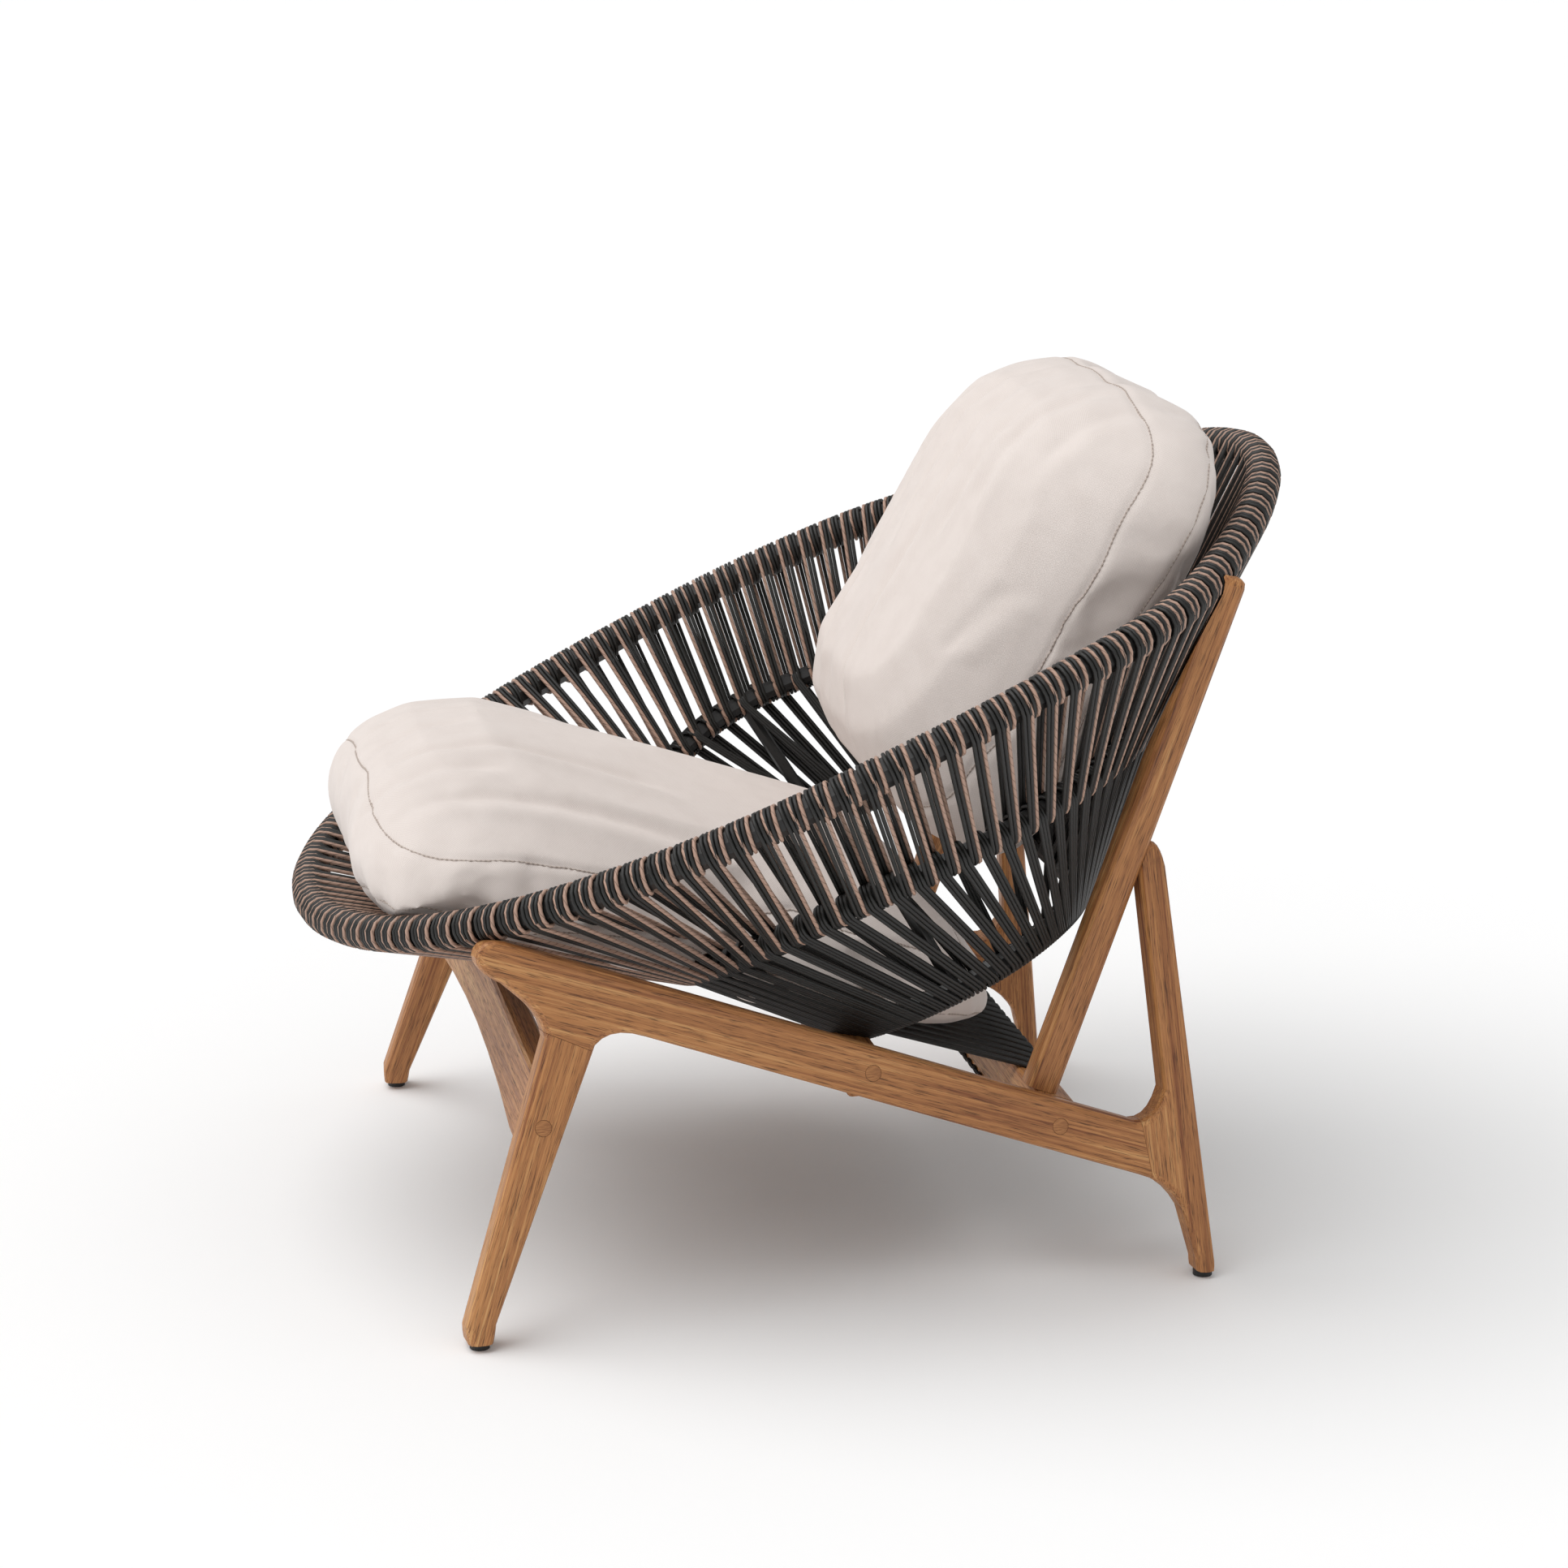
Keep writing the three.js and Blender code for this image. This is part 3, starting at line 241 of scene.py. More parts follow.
def powderCoat():
    # black polyester powder coat on steel tube: fine orange peel
    material, shader = newMaterial("powderCoatBlack", "1d1c1b", 0.42, ior=1.5)
    where = add(material, "ShaderNodeTexCoord").outputs["Object"]
    peel = add(material, "ShaderNodeTexNoise", {"Scale": 1 / (1.4 * mm), "Detail": 2.0},
               {"Vector": where}).outputs["Fac"]
    bump(material, shader, peel, 0.25, 0.1 * mm)
    return material


def nylonGlide():
    # moulded black nylon: matt with a faint mould grain
    material, shader = newMaterial("nylonMoulded", "141414", 0.5, ior=1.53)
    where = add(material, "ShaderNodeTexCoord").outputs["Object"]
    grain = add(material, "ShaderNodeTexNoise", {"Scale": 1 / (0.8 * mm), "Detail": 2.0},
                {"Vector": where}).outputs["Fac"]
    bump(material, shader, grain, 0.2, 0.1 * mm)
    return material


def zincPlate():
    # bright zinc plated steel, slightly mottled
    material, shader = newMaterial("zincPlated", "b4b5b8", 0.32, metallic=1.0)
    where = add(material, "ShaderNodeTexCoord").outputs["Object"]
    mottle = add(material, "ShaderNodeTexNoise", {"Scale": 1 / (1.5 * mm), "Detail": 3.0},
                 {"Vector": where}).outputs["Fac"]
    gloss = add(material, "ShaderNodeMapRange", {"To Min": 0.25, "To Max": 0.42}, {"Value": mottle})
    material.node_tree.links.new(gloss.outputs["Result"], shader.inputs["Roughness"])
    return material


cordLooks = {
    # name: painted shade in the groove, the cord's own colour on the strand, depth of the groove
    "cordTwistedBlack": ("0e0d0c", "1d1c1a", 0.12),
    "cordTwistedTaupe": ("5c463a", "b39280", 0.35),
}
cordTwist = 9 * mm   # one full turn of the strands


def twistedCord(name):
    # twisted polyester cord with a dull shine: strands show as fine slanting grooves along it,
    # painted darker in the grooves as shade
    low, high, depth = cordLooks[name]
    material, shader = newMaterial(name, high, 0.5, ior=1.5)
    along = add(material, "ShaderNodeUVMap", {"uv_map": "cordMap"}).outputs["UV"]
    parts = add(material, "ShaderNodeSeparateXYZ", links={"Vector": along})
    turns = add(material, "ShaderNodeMath", {"operation": "MULTIPLY", 1: 1 / cordTwist},
                {0: parts.outputs["Y"]}).outputs[0]
    strands = add(material, "ShaderNodeMath", {"operation": "MULTIPLY_ADD", 1: 2.0},
                  {0: parts.outputs["X"], 2: turns}).outputs[0]
    groove = add(material, "ShaderNodeMath", {"operation": "PINGPONG", 1: 0.5},
                 {0: strands}).outputs[0]
    height = add(material, "ShaderNodeMapRange", {"From Min": 0.0, "From Max": 0.16},
                 {"Value": groove}).outputs["Result"]
    where = add(material, "ShaderNodeTexCoord").outputs["Object"]
    fuzz = add(material, "ShaderNodeTexNoise", {"Scale": 1 / (9 * mm), "Detail": 3.0},
               {"Vector": where}).outputs["Fac"]
    mixed = add(material, "ShaderNodeMath", {"operation": "MULTIPLY_ADD", 1: 0.5},
                {0: fuzz, 2: height}).outputs[0]
    # painted shade: the grooves take the dark colour, with a random tone mixed in along the cord
    colour = ramp(material, mixed, [(0.15, low), (0.95, high), (1.4, high)])
    material.node_tree.links.new(colour, shader.inputs["Base Color"])
    bump(material, shader, height, depth, 0.4 * mm)
    return material


# the dark colour is a random slub tone and painted shade in the dips of the weave
cushionCloth = {"light": "e4dad4", "dark": "d2c6bf", "thread": 1.7 * mm, "slub": 22 * mm,
                "bump": 0.3}


def wovenCloth(name):
    # woven off-white upholstery with a dull face: plain weave,
    # drawn about twice as coarse as real so that it shows
    material, shader = newMaterial(name, cushionCloth["light"], 0.9, ior=1.5)
    shader.inputs["Sheen Weight"].default_value = 0.15
    shader.inputs["Sheen Roughness"].default_value = 0.5
    along = add(material, "ShaderNodeUVMap", {"uv_map": "clothMap"}).outputs["UV"]
    parts = add(material, "ShaderNodeSeparateXYZ", links={"Vector": along})
    waves = []
    for axis in ("X", "Y"):
        turns = add(material, "ShaderNodeMath",
                    {"operation": "MULTIPLY", 1: 2 * math.pi / cushionCloth["thread"]},
                    {0: parts.outputs[axis]}).outputs[0]
        waves.append(add(material, "ShaderNodeMath", {"operation": "SINE"}, {0: turns}).outputs[0])
    product = add(material, "ShaderNodeMath", {"operation": "MULTIPLY"},
                  {0: waves[0], 1: waves[1]}).outputs[0]
    weave = add(material, "ShaderNodeMapRange", {"From Min": -1.0, "From Max": 1.0},
                {"Value": product}).outputs["Result"]
    where = add(material, "ShaderNodeTexCoord").outputs["Object"]
    slub = add(material, "ShaderNodeTexNoise", {"Scale": 1 / cushionCloth["slub"], "Detail": 5.0},
               {"Vector": where}).outputs["Fac"]
    mixed = add(material, "ShaderNodeMath", {"operation": "MULTIPLY_ADD", 1: 0.7},
                {0: slub, 2: weave}).outputs[0]
    # painted shade: the weave's dips take the dark colour, with the random slub tone mixed in
    colour = ramp(material, mixed, [(0.2, cushionCloth["dark"]), (1.0, cushionCloth["light"])])
    material.node_tree.links.new(colour, shader.inputs["Base Color"])
    bump(material, shader, weave, cushionCloth["bump"], 0.25 * mm)
    return material


def seamThreadAndShade():
    # sewn seam: a line of polyester thread between two panels, coloured darker than the cloth as
    # painted shade in the seam
    material, shader = newMaterial("seamThreadAndShade", "b9aca3", 0.8, ior=1.5)
    along = add(material, "ShaderNodeUVMap", {"uv_map": "cordMap"}).outputs["UV"]
    stitch = add(material, "ShaderNodeTexWave",
                 {"Scale": 0.314 / (4 * mm), "bands_direction": "Y"},
                 {"Vector": along}).outputs["Fac"]   # a wave of scale 1 repeats every 0.314
    colour = ramp(material, stitch, [(0.2, "a4968d"), (0.8, "c2b5ac")])
    material.node_tree.links.new(colour, shader.inputs["Base Color"])
    bump(material, shader, stitch, 0.3, 0.3 * mm)
    return material


def paint(node, material):
    for slot in bpy.data.objects[node].material_slots:
        slot.material = material


powder, nylon, zinc = powderCoat(), nylonGlide(), zincPlate()
blackCord, taupeCord = twistedCord("cordTwistedBlack"), twistedCord("cordTwistedTaupe")
seatCloth, thread = wovenCloth("wovenUpholstery"), seamThreadAndShade()
boards = [n for n in frame["nodes"] if n.endswith("_stretcher")
          or n.startswith(("side_rail", "front_leg", "rear_leg", "back_post"))]
for count, node in enumerate(sorted(boards)):
    paint(node, oiledTeak(node, 0.37 * count))
for node in frame["nodes"]:
    if node.startswith(("plug_", "dowel_")):
        paint(node, teakPlug(node))
    elif node.startswith("bolt_"):
        paint(node, zinc)
    elif node.startswith("glide_"):
        paint(node, nylon)
    elif node.endswith("_hoop") or node.startswith("basket_rib"):
        paint(node, powder)
print("materials on", len(frame["nodes"]), "nodes")

floorSheet = {"size": 90.0, "colour": "fcfcfc", "height": -0.0004}   # just under the glides
bpy.ops.object.select_all(action="DESELECT")
bpy.ops.mesh.primitive_plane_add(size=floorSheet["size"],
                                 location=(0, 0, floorSheet["height"]))
floor = bpy.context.object
floor.name = "floor"
floorPaint = newMaterial("studioPaper", floorSheet["colour"], 0.9)[0]
floor.data.materials.append(floorPaint)


# ---- hoop centre lines, repeated from the part ----

hoops = {
    "rim_hoop": {
        "tube": 12.4, "across": [390, 41, 21.5, -5], "deepMid": 70, "deep": [401, 79, 21, -17],
        "riseMid": 497.4, "rise": [171.3, 33, 12.9, -12.2], "dip": 0,
    },
    "middle_hoop": {
        "tube": 9, "across": [348, 17, 7, 1], "deepMid": 95, "deep": [223, -17, -1, -1],
        "riseMid": 374, "rise": [107, 17, 6, 2], "dip": 15,
    },
    "lower_hoop": {
        "tube": 9, "across": [282, 12, 2, 1], "deepMid": 131, "deep": [131, -2.5, -3.5, -1.5],
        "riseMid": 256, "rise": [63, 23, -2.3, 2.5], "dip": 0,
    },
}
dipSharpness = 10
lowerOpen = 39 / 360   # the lower hoop's open front, each side of the middle, as a share of a turn
rearward = -7.93       # the part is centred over its own box


def hoopPoint(name, share):
    hoop = hoops[name]
    # share runs from 0 at the front middle, by way of +X, to 1
    t = 2 * math.pi * share
    x = sum(a * math.sin((k + 1) * t) for k, a in enumerate(hoop["across"]))
    depth = sum(a * math.cos((k + 1) * t) for k, a in enumerate(hoop["deep"]))
    y = hoop["deepMid"] - depth + rearward
    z = hoop["riseMid"] - sum(a * math.cos((k + 1) * t) for k, a in enumerate(hoop["rise"]))
    z -= hoop["dip"] * ((1 + math.cos(t)) / 2) ** dipSharpness
    return Vector((x, y, z)) * mm


def hoopTangent(name, share):
    return (hoopPoint(name, share + 0.0005) - hoopPoint(name, share - 0.0005)).normalized()


def wallAxes(name, share, down):
    # a hoop's own axes at a place: out of the wall, down it and along the tube
    tangent = hoopTangent(name, share)
    out = down.cross(tangent).normalized()
    drop = tangent.cross(out).normalized()
    return {"centre": hoopPoint(name, share), "out": out, "drop": drop, "along": tangent}


def roundHoop(axes, radius, degrees, slide=0.0):
    # 0 is outward, 90 up, 180 inward, 270 underneath
    angle = math.radians(degrees)
    return (axes["centre"] + axes["out"] * radius * math.cos(angle)
            - axes["drop"] * radius * math.sin(angle) + axes["along"] * slide)


# ---- woven cords ----

cord = {
    "radius": 1.78 * mm, "gap": 0.08 * mm, "sides": 7, "stepDegrees": 30,
    "upperBands": 118,                          # bands round the rim
    "bandSpread": (-0.0265, -0.0205, -0.0075),  # how they drift round the middle hoop
}


def lengthsAlong(points):
    return np.concatenate([[0], np.cumsum(np.linalg.norm(np.diff(points, axis=0), axis=1))])


def sweep(name, routes, radius, sides, material):
    # round cords along open routes, with a map that runs round and along each one
    vertices, faces, uvs = [], [], []
    for route in routes:
        points = np.array([tuple(p) for p in route])
        tangents = np.gradient(points, axis=0)
        tangents /= np.linalg.norm(tangents, axis=1)[:, None]
        side = np.cross(tangents[0], (0.13, 0.31, 0.94))   # along no cord's own direction
        side /= np.linalg.norm(side)
        lengths = lengthsAlong(points)
        start = len(vertices)
        for point, tangent in zip(points, tangents):
            side = side - tangent * side.dot(tangent)
            side /= np.linalg.norm(side)
            other = np.cross(tangent, side)
            for k in range(sides):
                a = 2 * math.pi * k / sides
                vertices.append(point + radius * (math.cos(a) * side + math.sin(a) * other))
        last = len(points) - 1
        for i in range(last):
            for k in range(sides):
                n = (k + 1) % sides
                row, up = start + i * sides, start + (i + 1) * sides
                faces.append((row + k, row + n, up + n, up + k))
                low, high = lengths[i], lengths[i + 1]
                uvs += [(k / sides, low), ((k + 1) / sides, low),
                        ((k + 1) / sides, high), (k / sides, high)]
        faces.append(tuple(start + k for k in reversed(range(sides))))
        faces.append(tuple(start + last * sides + k for k in range(sides)))
        uvs += [(0, 0)] * (2 * sides)
    mesh = bpy.data.meshes.new(name)
    mesh.from_pydata([tuple(v) for v in vertices], [], faces)
    layer = mesh.uv_layers.new(name="cordMap")
    layer.data.foreach_set("uv", np.array(uvs, dtype=np.float32).ravel())
    mesh.polygons.foreach_set("use_smooth", [True] * len(mesh.polygons))
    mesh.materials.append(material)
    mesh.update()
    piece = bpy.data.objects.new(name, mesh)
    bpy.context.collection.objects.link(piece)
    return piece


def between(a, b, count):
    return [a.lerp(b, (i + 1) / (count + 1)) for i in range(count)]


def arc(axes, radius, first, last, slideFrom, slideTo):
    # a cord round a hoop, sliding along it as it turns
    count = max(2, round(abs(last - first) / cord["stepDegrees"]))
    return [roundHoop(axes, radius, first + (last - first) * i / count,
                      slideFrom + (slideTo - slideFrom) * i / count) for i in range(count + 1)]


def midShareBelow(rimFraction):
    # where on the middle hoop a band lands, by length, for its place on the rim by length
    turn = 2 * math.pi * rimFraction
    drift = sum(a * math.sin((k + 1) * turn) for k, a in enumerate(cord["bandSpread"]))
    return rimFraction + drift


def atLength(name):
    # a hoop's shares of angle, their shares of its length, and the length
    fine = np.linspace(0, 1, 2401)
    lengths = lengthsAlong(np.array([hoopPoint(name, s) for s in fine]))
    return fine, lengths / lengths[-1], lengths[-1]


def upperRoutes():
    # each band goes up outside, twice round the rim, down inside and under the middle hoop
    rimShares, rimPart, length = atLength("rim_hoop")
    midShares, midPart, midLength = atLength("middle_hoop")
    bands = cord["upperBands"]
    pitch = length / bands
    apart = min(pitch / 6, 2 * cord["radius"] + cord["gap"])
    routes = {"black": [], "taupe": []}
    rimRound = hoops["rim_hoop"]["tube"] * mm + cord["radius"]
    midRound = hoops["middle_hoop"]["tube"] * mm + cord["radius"]
    for band in range(bands):
        part = (band + 0.5) / bands
        share = np.interp(part, rimPart, rimShares)
        top = hoopPoint("rim_hoop", share)
        midOut = np.interp(midShareBelow(part) % 1, midPart, midShares)
        midIn = np.interp(midShareBelow(part + 0.5 / bands) % 1, midPart, midShares)
        downOut = hoopPoint("middle_hoop", midOut) - top
        downIn = hoopPoint("middle_hoop", midIn) - top
        rim = wallAxes("rim_hoop", share, downOut)
        mid = wallAxes("middle_hoop", midOut, downOut)
        midNext = wallAxes("middle_hoop", midIn, downIn)
        drift = midShareBelow(part + 0.002) - midShareBelow(part - 0.002)
        crowd = min(1, drift / 0.004 * midLength / length * 1.6)   # closer where bands converge
        for place, colour in ((-1, "black"), (0, "black"), (1, "taupe")):
            slide = place * pitch / 6
            low = place * apart * crowd
            start, end = slide - pitch / 4, slide + pitch / 4
            bottom = arc(mid, midRound, 250, 360, low, low)
            wrap = arc(rim, rimRound, 0, 90, start, start)
            wrap += arc(rim, rimRound, 120, 540, start + pitch / 28, end)
            inner = arc(midNext, midRound, 180, 262, low * 0.9, low * 0.9)
            outside = between(bottom[-1], wrap[0], 2)
            inside = between(wrap[-1], inner[0], 2)
            routes[colour].append(bottom + outside + wrap + inside + inner)
    return routes


lowerWall = {
    "firstLanding": 0.6,   # first band on the middle hoop, of the lower one's opening
    "start": 0.006,        # first band on the lower hoop, past its open end
    "returns": 3,          # every third band comes back up inside
}


def lowerRoutes():
    # black bands over the middle hoop between the upper ones, and under the lower hoop
    midShares, midPart, _ = atLength("middle_hoop")
    lowShares, lowPart, _ = atLength("lower_hoop")
    bands = cord["upperBands"]
    landings = [midShareBelow((band + 1) / bands) % 1 for band in range(bands)]
    first = np.interp(lowerOpen * lowerWall["firstLanding"], midShares, midPart)
    landings = [v for v in landings if first < v < 1 - first]
    start = np.interp(lowerOpen + lowerWall["start"], lowShares, lowPart)
    midRound = hoops["middle_hoop"]["tube"] * mm + cord["radius"] * 1.5
    lowRound = hoops["lower_hoop"]["tube"] * mm + cord["radius"]
    routes = []
    for i, landing in enumerate(landings):
        following = landings[min(i + 1, len(landings) - 1)]
        midShare, midNext = np.interp([landing, following], midPart, midShares)
        lowAt = start + (1 - 2 * start) * (i + 0.5) / len(landings)
        lowShare = np.interp(lowAt, lowPart, lowShares)
        foot = hoopPoint("lower_hoop", lowShare)
        down = foot - hoopPoint("middle_hoop", midShare)
        mid = wallAxes("middle_hoop", midShare, down)
        low = wallAxes("lower_hoop", lowShare, down)
        inside = wallAxes("middle_hoop", midNext, foot - hoopPoint("middle_hoop", midNext))
        for place in (-1, 0, 1):
            slide = place * (2 * cord["radius"] + cord["gap"])
            over = arc(mid, midRound, 170, 0, slide * 0.95, slide * 0.95)
            under = arc(low, lowRound, 0, -190, slide, slide)
            route = over + between(over[-1], under[0], 1) + under
            if i % lowerWall["returns"] == 0:
                up = arc(inside, midRound, 200, 150, slide * 0.6, slide * 0.6)
                route += between(under[-1], up[0], 1) + up
            routes.append(route)
    return routes


upper = upperRoutes()
wallBlack = sweep("wall_cords_black", upper["black"], cord["radius"], cord["sides"],
                  blackCord)
wallTaupe = sweep("wall_cords_taupe", upper["taupe"], cord["radius"], cord["sides"],
                  taupeCord)
for piece in (wallBlack, wallTaupe):
    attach(piece, "frame")
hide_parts(*[n for n in frame["nodes"] if n.startswith("woven_wall_")])
print("upper wall cords:", len(upper["black"]) + len(upper["taupe"]))

lowerCords = sweep("lower_wall_cords", lowerRoutes(), cord["radius"], cord["sides"],
                   blackCord)
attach(lowerCords, "frame")
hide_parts(*[n for n in frame["nodes"] if n.startswith("lower_wall_")])
print("lower wall cords done")


# ---- deck cords under the seat cushion ----

deck = {
    "bands": 21, "frontHalf": 232, "middleHalf": 205, "rearHalf": 208,   # half widths
    "lift": 1.0, "edge": 3,          # over the middle stretcher, and in from its edges
    "tilt": 19.85, "halfDeep": 18, "halfHigh": 19,                      # rear stretcher
    "hoopReach": 0.13,               # share of the middle hoop the front ends lie within
}


def deckRoutes():
    # over the middle hoop's front, across the middle stretcher and round the rear stretcher
    low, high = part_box("middle_stretcher")
    rearLow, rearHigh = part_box("rear_stretcher")
    radius = cord["radius"]
    tilt = math.radians(deck["tilt"])
    rearMiddle = Vector((0, (rearLow[1] + rearHigh[1]) / 2, (rearLow[2] + rearHigh[2]) / 2))
    halfDeep, halfHigh = deck["halfDeep"] * mm + radius, deck["halfHigh"] * mm + radius
    forward = Vector((0, -math.cos(tilt), math.sin(tilt)))
    upward = Vector((0, math.sin(tilt), math.cos(tilt)))
    rounded = ((0.8, 1), (-0.8, 1), (-1, 0.8), (-1, -0.8), (-0.8, -1), (0.8, -1), (1, -0.8))
    corners = [rearMiddle + forward * a * halfDeep + upward * b * halfHigh for a, b in rounded]
    over = [Vector((0, low[1] + deck["edge"] * mm, high[2] + radius + deck["lift"] * mm)),
            Vector((0, (low[1] + high[1]) / 2, high[2] + radius + 0.4 * mm)),
            Vector((0, high[1] - deck["edge"] * mm, high[2] + radius - 0.1 * mm))]
    hoopShares = np.linspace(-deck["hoopReach"], deck["hoopReach"], 261)
    hoopAcross = [hoopPoint("middle_hoop", s).x for s in hoopShares]
    tubeRound = hoops["middle_hoop"]["tube"] * mm + radius * 1.3
    routes = []
    for band in range(deck["bands"]):
        spread = (band + 0.5) / deck["bands"] * 2 - 1
        for place in (-1, 0, 1):
            beside = place * (2 * radius + cord["gap"])
            frontX = spread * deck["frontHalf"] * mm + beside
            middleX = spread * deck["middleHalf"] * mm + beside
            rearX = spread * deck["rearHalf"] * mm + beside
            hoop = hoopPoint("middle_hoop", np.interp(frontX, hoopAcross, hoopShares))
            route = [Vector((frontX, hoop.y + tubeRound * math.sin(a),
                             hoop.z + tubeRound * math.cos(a)))
                     for a in np.radians([-150, -110, -70, -35, 5, 40])]
            route += between(route[-1], over[0] + Vector((middleX, 0, 0)), 2)
            for p in over + corners:
                part = min(1, max(0, (p.y - over[0].y) / (corners[1].y - over[0].y)))
                route.append(Vector((middleX + (rearX - middleX) * part, p.y, p.z)))
            routes.append(route)
    return routes


deckCords = sweep("deck_cords", deckRoutes(), cord["radius"], cord["sides"], blackCord)
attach(deckCords, "frame")
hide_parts("woven_seat_deck")
print("deck cords done")


# ---- cushions ----

cushions = {
    "seat_cushion": {
        "smooth": 8, "turn": 0.0, "seams": [(1, 0.62), (-1, 0.5)],   # side, how far it turns over
        # across, start, end, depth in mm, lean
        "creases": [(0.35, 0.02, 0.55, 4.5, 0.12), (0.66, 0.03, 0.6, 4.5, 0.05),
                    (-0.1, 0.0, 0.35, 3.5, 0.1), (0.5, 0.0, 0.25, 3.0, 0.0),
                    (-0.45, 0.02, 0.4, 3.5, -0.1), (-0.75, 0.03, 0.5, 3.5, -0.05),
                    (0.1, 0.03, 0.22, 2.5, 0.0)],
    },
    "back_cushion": {
        "smooth": 6, "turn": 63.5, "seams": [(1, 0.42), (-1, 0.35)],
        "creases": [(-0.38, 0.1, 1.0, 3.5, -0.05), (-0.12, 0.45, 1.0, 4.0, -0.12),
                    (0.1, 0.05, 1.0, 5.0, -0.15), (0.33, 0.5, 1.0, 3.5, -0.1),
                    (0.52, 0.6, 1.0, 3.0, -0.1), (-0.5, 0.0, 0.5, 4.0, 0.0),
                    (-0.3, 0.0, 0.42, 3.5, 0.05), (0.68, 0.75, 1.0, 2.5, -0.05),
                    (0.75, 0.35, 0.55, 2.5, 0.3)],
    },
}
filling = {"voxel": 6 * mm, "start": -2.5 * mm, "pressure": 5.0, "cap": 24 * mm, "fill": 0.7,
           "proud": 2.5 * mm, "settle": 4, "frames": 20}
crease = {"wide": 11 * mm}
seamLine = {"points": 160, "reach": 0.42, "halvings": 16, "smooth": 8,
            "wide": 9 * mm, "deep": 2.6 * mm, "radius": 0.85 * mm, "sides": 6}


def onlySelect(piece):
    bpy.ops.object.select_all(action="DESELECT")
    piece.select_set(True)
    bpy.context.view_layer.objects.active = piece


def applied(piece, kind, **settings):
    onlySelect(piece)
    modifier = piece.modifiers.new(kind.lower(), kind)
    for key, value in settings.items():
        setattr(modifier, key, value)
    bpy.ops.object.modifier_apply(modifier=modifier.name)


def mergedCopy(node, name):
    source = bpy.data.objects[node]
    mesh = source.data.copy()
    shape = bmesh.new()
    shape.from_mesh(mesh)
    bmesh.ops.remove_doubles(shape, verts=shape.verts, dist=0.02 * mm)
    shape.to_mesh(mesh)
    shape.free()
    mesh.name = name
    mesh.materials.clear()
    piece = bpy.data.objects.new(name, mesh)
    bpy.context.collection.objects.link(piece)
    return piece


def vertexValues(mesh, key):
    values = np.empty(len(mesh.vertices) * 3)
    mesh.vertices.foreach_get(key, values)
    return values.reshape(-1, 3)


def coordinates(piece):
    return vertexValues(piece.data, "co")


def normalsOf(piece):
    return vertexValues(piece.data, "normal")


def place(piece, points):
    piece.data.vertices.foreach_set("co", points.ravel())
    piece.data.update()


def padAxes(settings):
    # a cushion's own axes: across, along from its front or foot, and out of its face
    lean = math.radians(settings["turn"])
    across = Vector((1, 0, 0))
    along = Vector((0, math.cos(lean), math.sin(lean)))
    return across, along, across.cross(along)


def surfaceTree(piece):
    return BVHTree.FromPolygons([v.co for v in piece.data.vertices],
                                [list(p.vertices) for p in piece.data.polygons])


def seamRound(tree, centre, across, along, out, limit):
    # where a face turns over into the border, all the way round
    count = seamLine["points"]
    route = []
    for step in range(count):
        angle = 2 * math.pi * step / count
        way = across * math.cos(angle) + along * math.sin(angle)
        inside, outside = 0.0, seamLine["reach"]
        for _ in range(seamLine["halvings"]):
            middle = (inside + outside) / 2
            hit, normal, _, _ = tree.ray_cast(centre + way * middle + out * 1.0, -out)
            if hit is not None and normal.dot(out) > limit:
                inside = middle
            else:
                outside = middle
        route.append(tree.ray_cast(centre + way * inside + out * 1.0, -out)[0])
    for _ in range(seamLine["smooth"]):
        route = [route[i - 1] * 0.25 + route[i] * 0.5 + route[(i + 1) % count] * 0.25
                 for i in range(count)]
    return route


def pullIn(piece, route):
    # the cloth dips towards a seam
    points, normals = coordinates(piece), normalsOf(piece)
    pairs = zip(route, route[1:] + route[:1])
    line = np.array([tuple(p) for a, b in pairs for p in (a, (a + b) / 2)])
    shift = np.zeros(len(points))
    block = 4000   # points measured at a time
    for start in range(0, len(points), block):
        apart = points[start:start + block][:, None, :] - line[None]
        distance = np.sqrt((apart ** 2).sum(axis=2)).min(axis=1)
        near = np.clip(1 - distance / seamLine["wide"], 0, 1)
        shift[start:start + block] = seamLine["deep"] * near ** 2
    place(piece, points - normals * shift[:, None])


def foldCloth(piece, settings, centre, axes):
    # soft folds run along the cushion and fade out: a dip with a low ridge beside it
    across, along, out = (np.array(tuple(v)) for v in axes)
    points, normals = coordinates(piece), normalsOf(piece)
    offset = points - np.array(tuple(centre))
    x, y, face = offset @ across, offset @ along, normals @ out
    halfWide, low, high = np.abs(x).max(), y.min(), y.max()
    share = (y - low) / (high - low)
    shift = np.zeros(len(points))
    for at, start, end, deep, lean in settings["creases"]:
        wander = 0.02 * np.sin(share * 9 + at * 20)
        d = x - (at + lean * (share - 0.5) + wander) * halfWide
        middle, half = (start + end) / 2, (end - start) / 2
        fade = np.clip((1 - np.abs(share - middle) / half) * 2.2, 0, 1)
        fade = fade * fade * (3 - 2 * fade)
        wide = crease["wide"] * (0.7 + 0.5 * np.abs(share - start))
        ridge = np.exp(-((d - 1.9 * wide) / (1.2 * wide)) ** 2)
        dip = np.exp(-(d / wide) ** 2) - 0.75 * ridge
        shift += deep * mm * dip * fade
    place(piece, points - normals * (shift * np.clip(face * 1.6, 0, 1))[:, None])


def clothMap(piece, axes, centre):
    # each face takes its thread directions from the panel it is on
    layer = piece.data.uv_layers.new(name="clothMap")
    basis = np.array([tuple(v) for v in axes])
    points = (coordinates(piece) - np.array(tuple(centre))) @ basis.T
    values = np.empty((len(piece.data.loops), 2))
    for face in piece.data.polygons:
        facing = np.abs(basis @ np.array(tuple(face.normal)))
        keep = [k for k in range(3) if k != int(np.argmax(facing))]
        for loop in face.loop_indices:
            values[loop] = points[piece.data.loops[loop].vertex_index][keep]
    layer.data.foreach_set("uv", values.astype(np.float32).ravel())


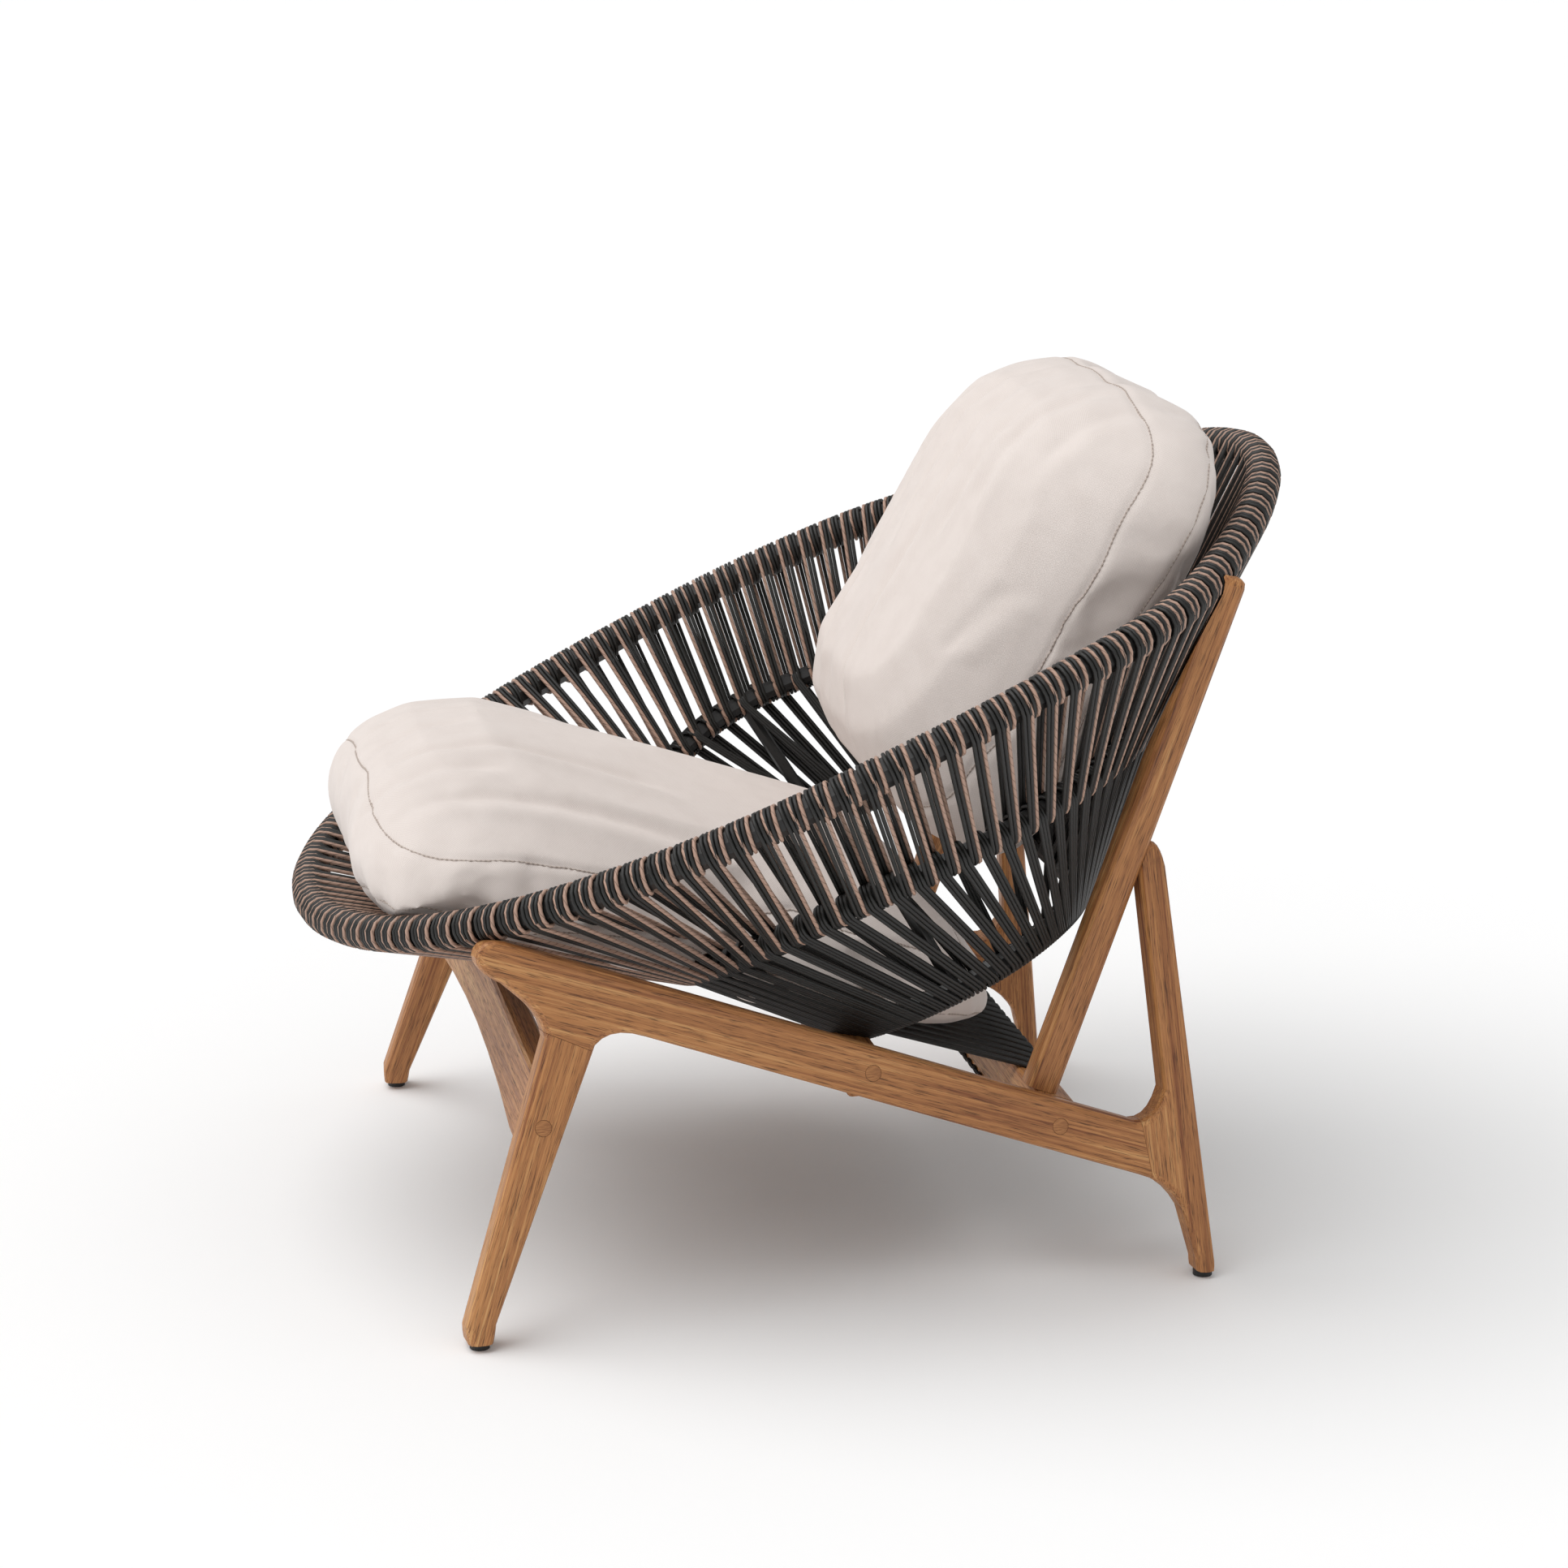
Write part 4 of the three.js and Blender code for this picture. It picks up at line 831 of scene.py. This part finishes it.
def fillWithPressure(piece):
    # the cover is blown up from inside, and no point moves much further than the cap
    before = coordinates(piece)
    onlySelect(piece)
    cloth = piece.modifiers.new("filling", "CLOTH")
    cloth.settings.use_pressure = True
    cloth.settings.uniform_pressure_force = filling["pressure"]
    cloth.settings.effector_weights.gravity = 0
    for frameNumber in range(1, filling["frames"] + 1):
        bpy.context.scene.frame_set(frameNumber)
    evaluated = piece.evaluated_get(bpy.context.evaluated_depsgraph_get())
    moved = vertexValues(evaluated.data, "co")
    piece.modifiers.remove(cloth)
    bpy.context.scene.frame_set(1)
    step = moved - before
    reach = np.linalg.norm(step, axis=1)
    cap = filling["cap"]
    keep = cap * np.tanh(reach / cap) / np.maximum(reach, 1e-9)
    place(piece, before + step * keep[:, None])


def keepInside(piece, solid, proud):
    # no point of the filled pad stands further out than this from the cushion's own solid
    points = coordinates(piece)
    for i, point in enumerate(points):
        near, normal, _, distance = solid.find_nearest(Vector(point))
        over = (Vector(point) - near).dot(normal)
        if over > proud:
            points[i] = near + normal * proud
    place(piece, points)


def pad(node, settings):
    piece = mergedCopy(node, node + "_padded")
    solid = surfaceTree(piece)
    applied(piece, "REMESH", mode="VOXEL", voxel_size=filling["voxel"])
    applied(piece, "SMOOTH", factor=0.5, iterations=settings["smooth"])
    place(piece, coordinates(piece) + normalsOf(piece) * filling["start"])
    fillWithPressure(piece)
    keepInside(piece, solid, filling["proud"])
    applied(piece, "SMOOTH", factor=0.5, iterations=filling["settle"])
    applied(piece, "SUBSURF", levels=1, render_levels=1)
    axes = padAxes(settings)
    low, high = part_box(node)
    centre = Vector([(a + b) / 2 for a, b in zip(low, high)])
    foldCloth(piece, settings, centre, axes)
    tree = surfaceTree(piece)
    across, along, out = axes
    for count, (side, limit) in enumerate(settings["seams"]):
        route = seamRound(tree, centre, across, along, out * side, limit)
        pullIn(piece, route)
        tree = surfaceTree(piece)
        route = [tree.find_nearest(p)[0] for p in route]
        seam = sweep(f"{node}_seam_{count}", [route + [route[0]]], seamLine["radius"],
                     seamLine["sides"], thread)
        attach(seam, node)
    clothMap(piece, axes, centre)
    piece.data.materials.append(seatCloth)
    piece.data.polygons.foreach_set("use_smooth", [True] * len(piece.data.polygons))
    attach(piece, node)
    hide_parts(node)
    return piece


seat = pad("seat_cushion", cushions["seat_cushion"])
back = pad("back_cushion", cushions["back_cushion"])
print("cushions filled:", len(seat.data.polygons), len(back.data.polygons))
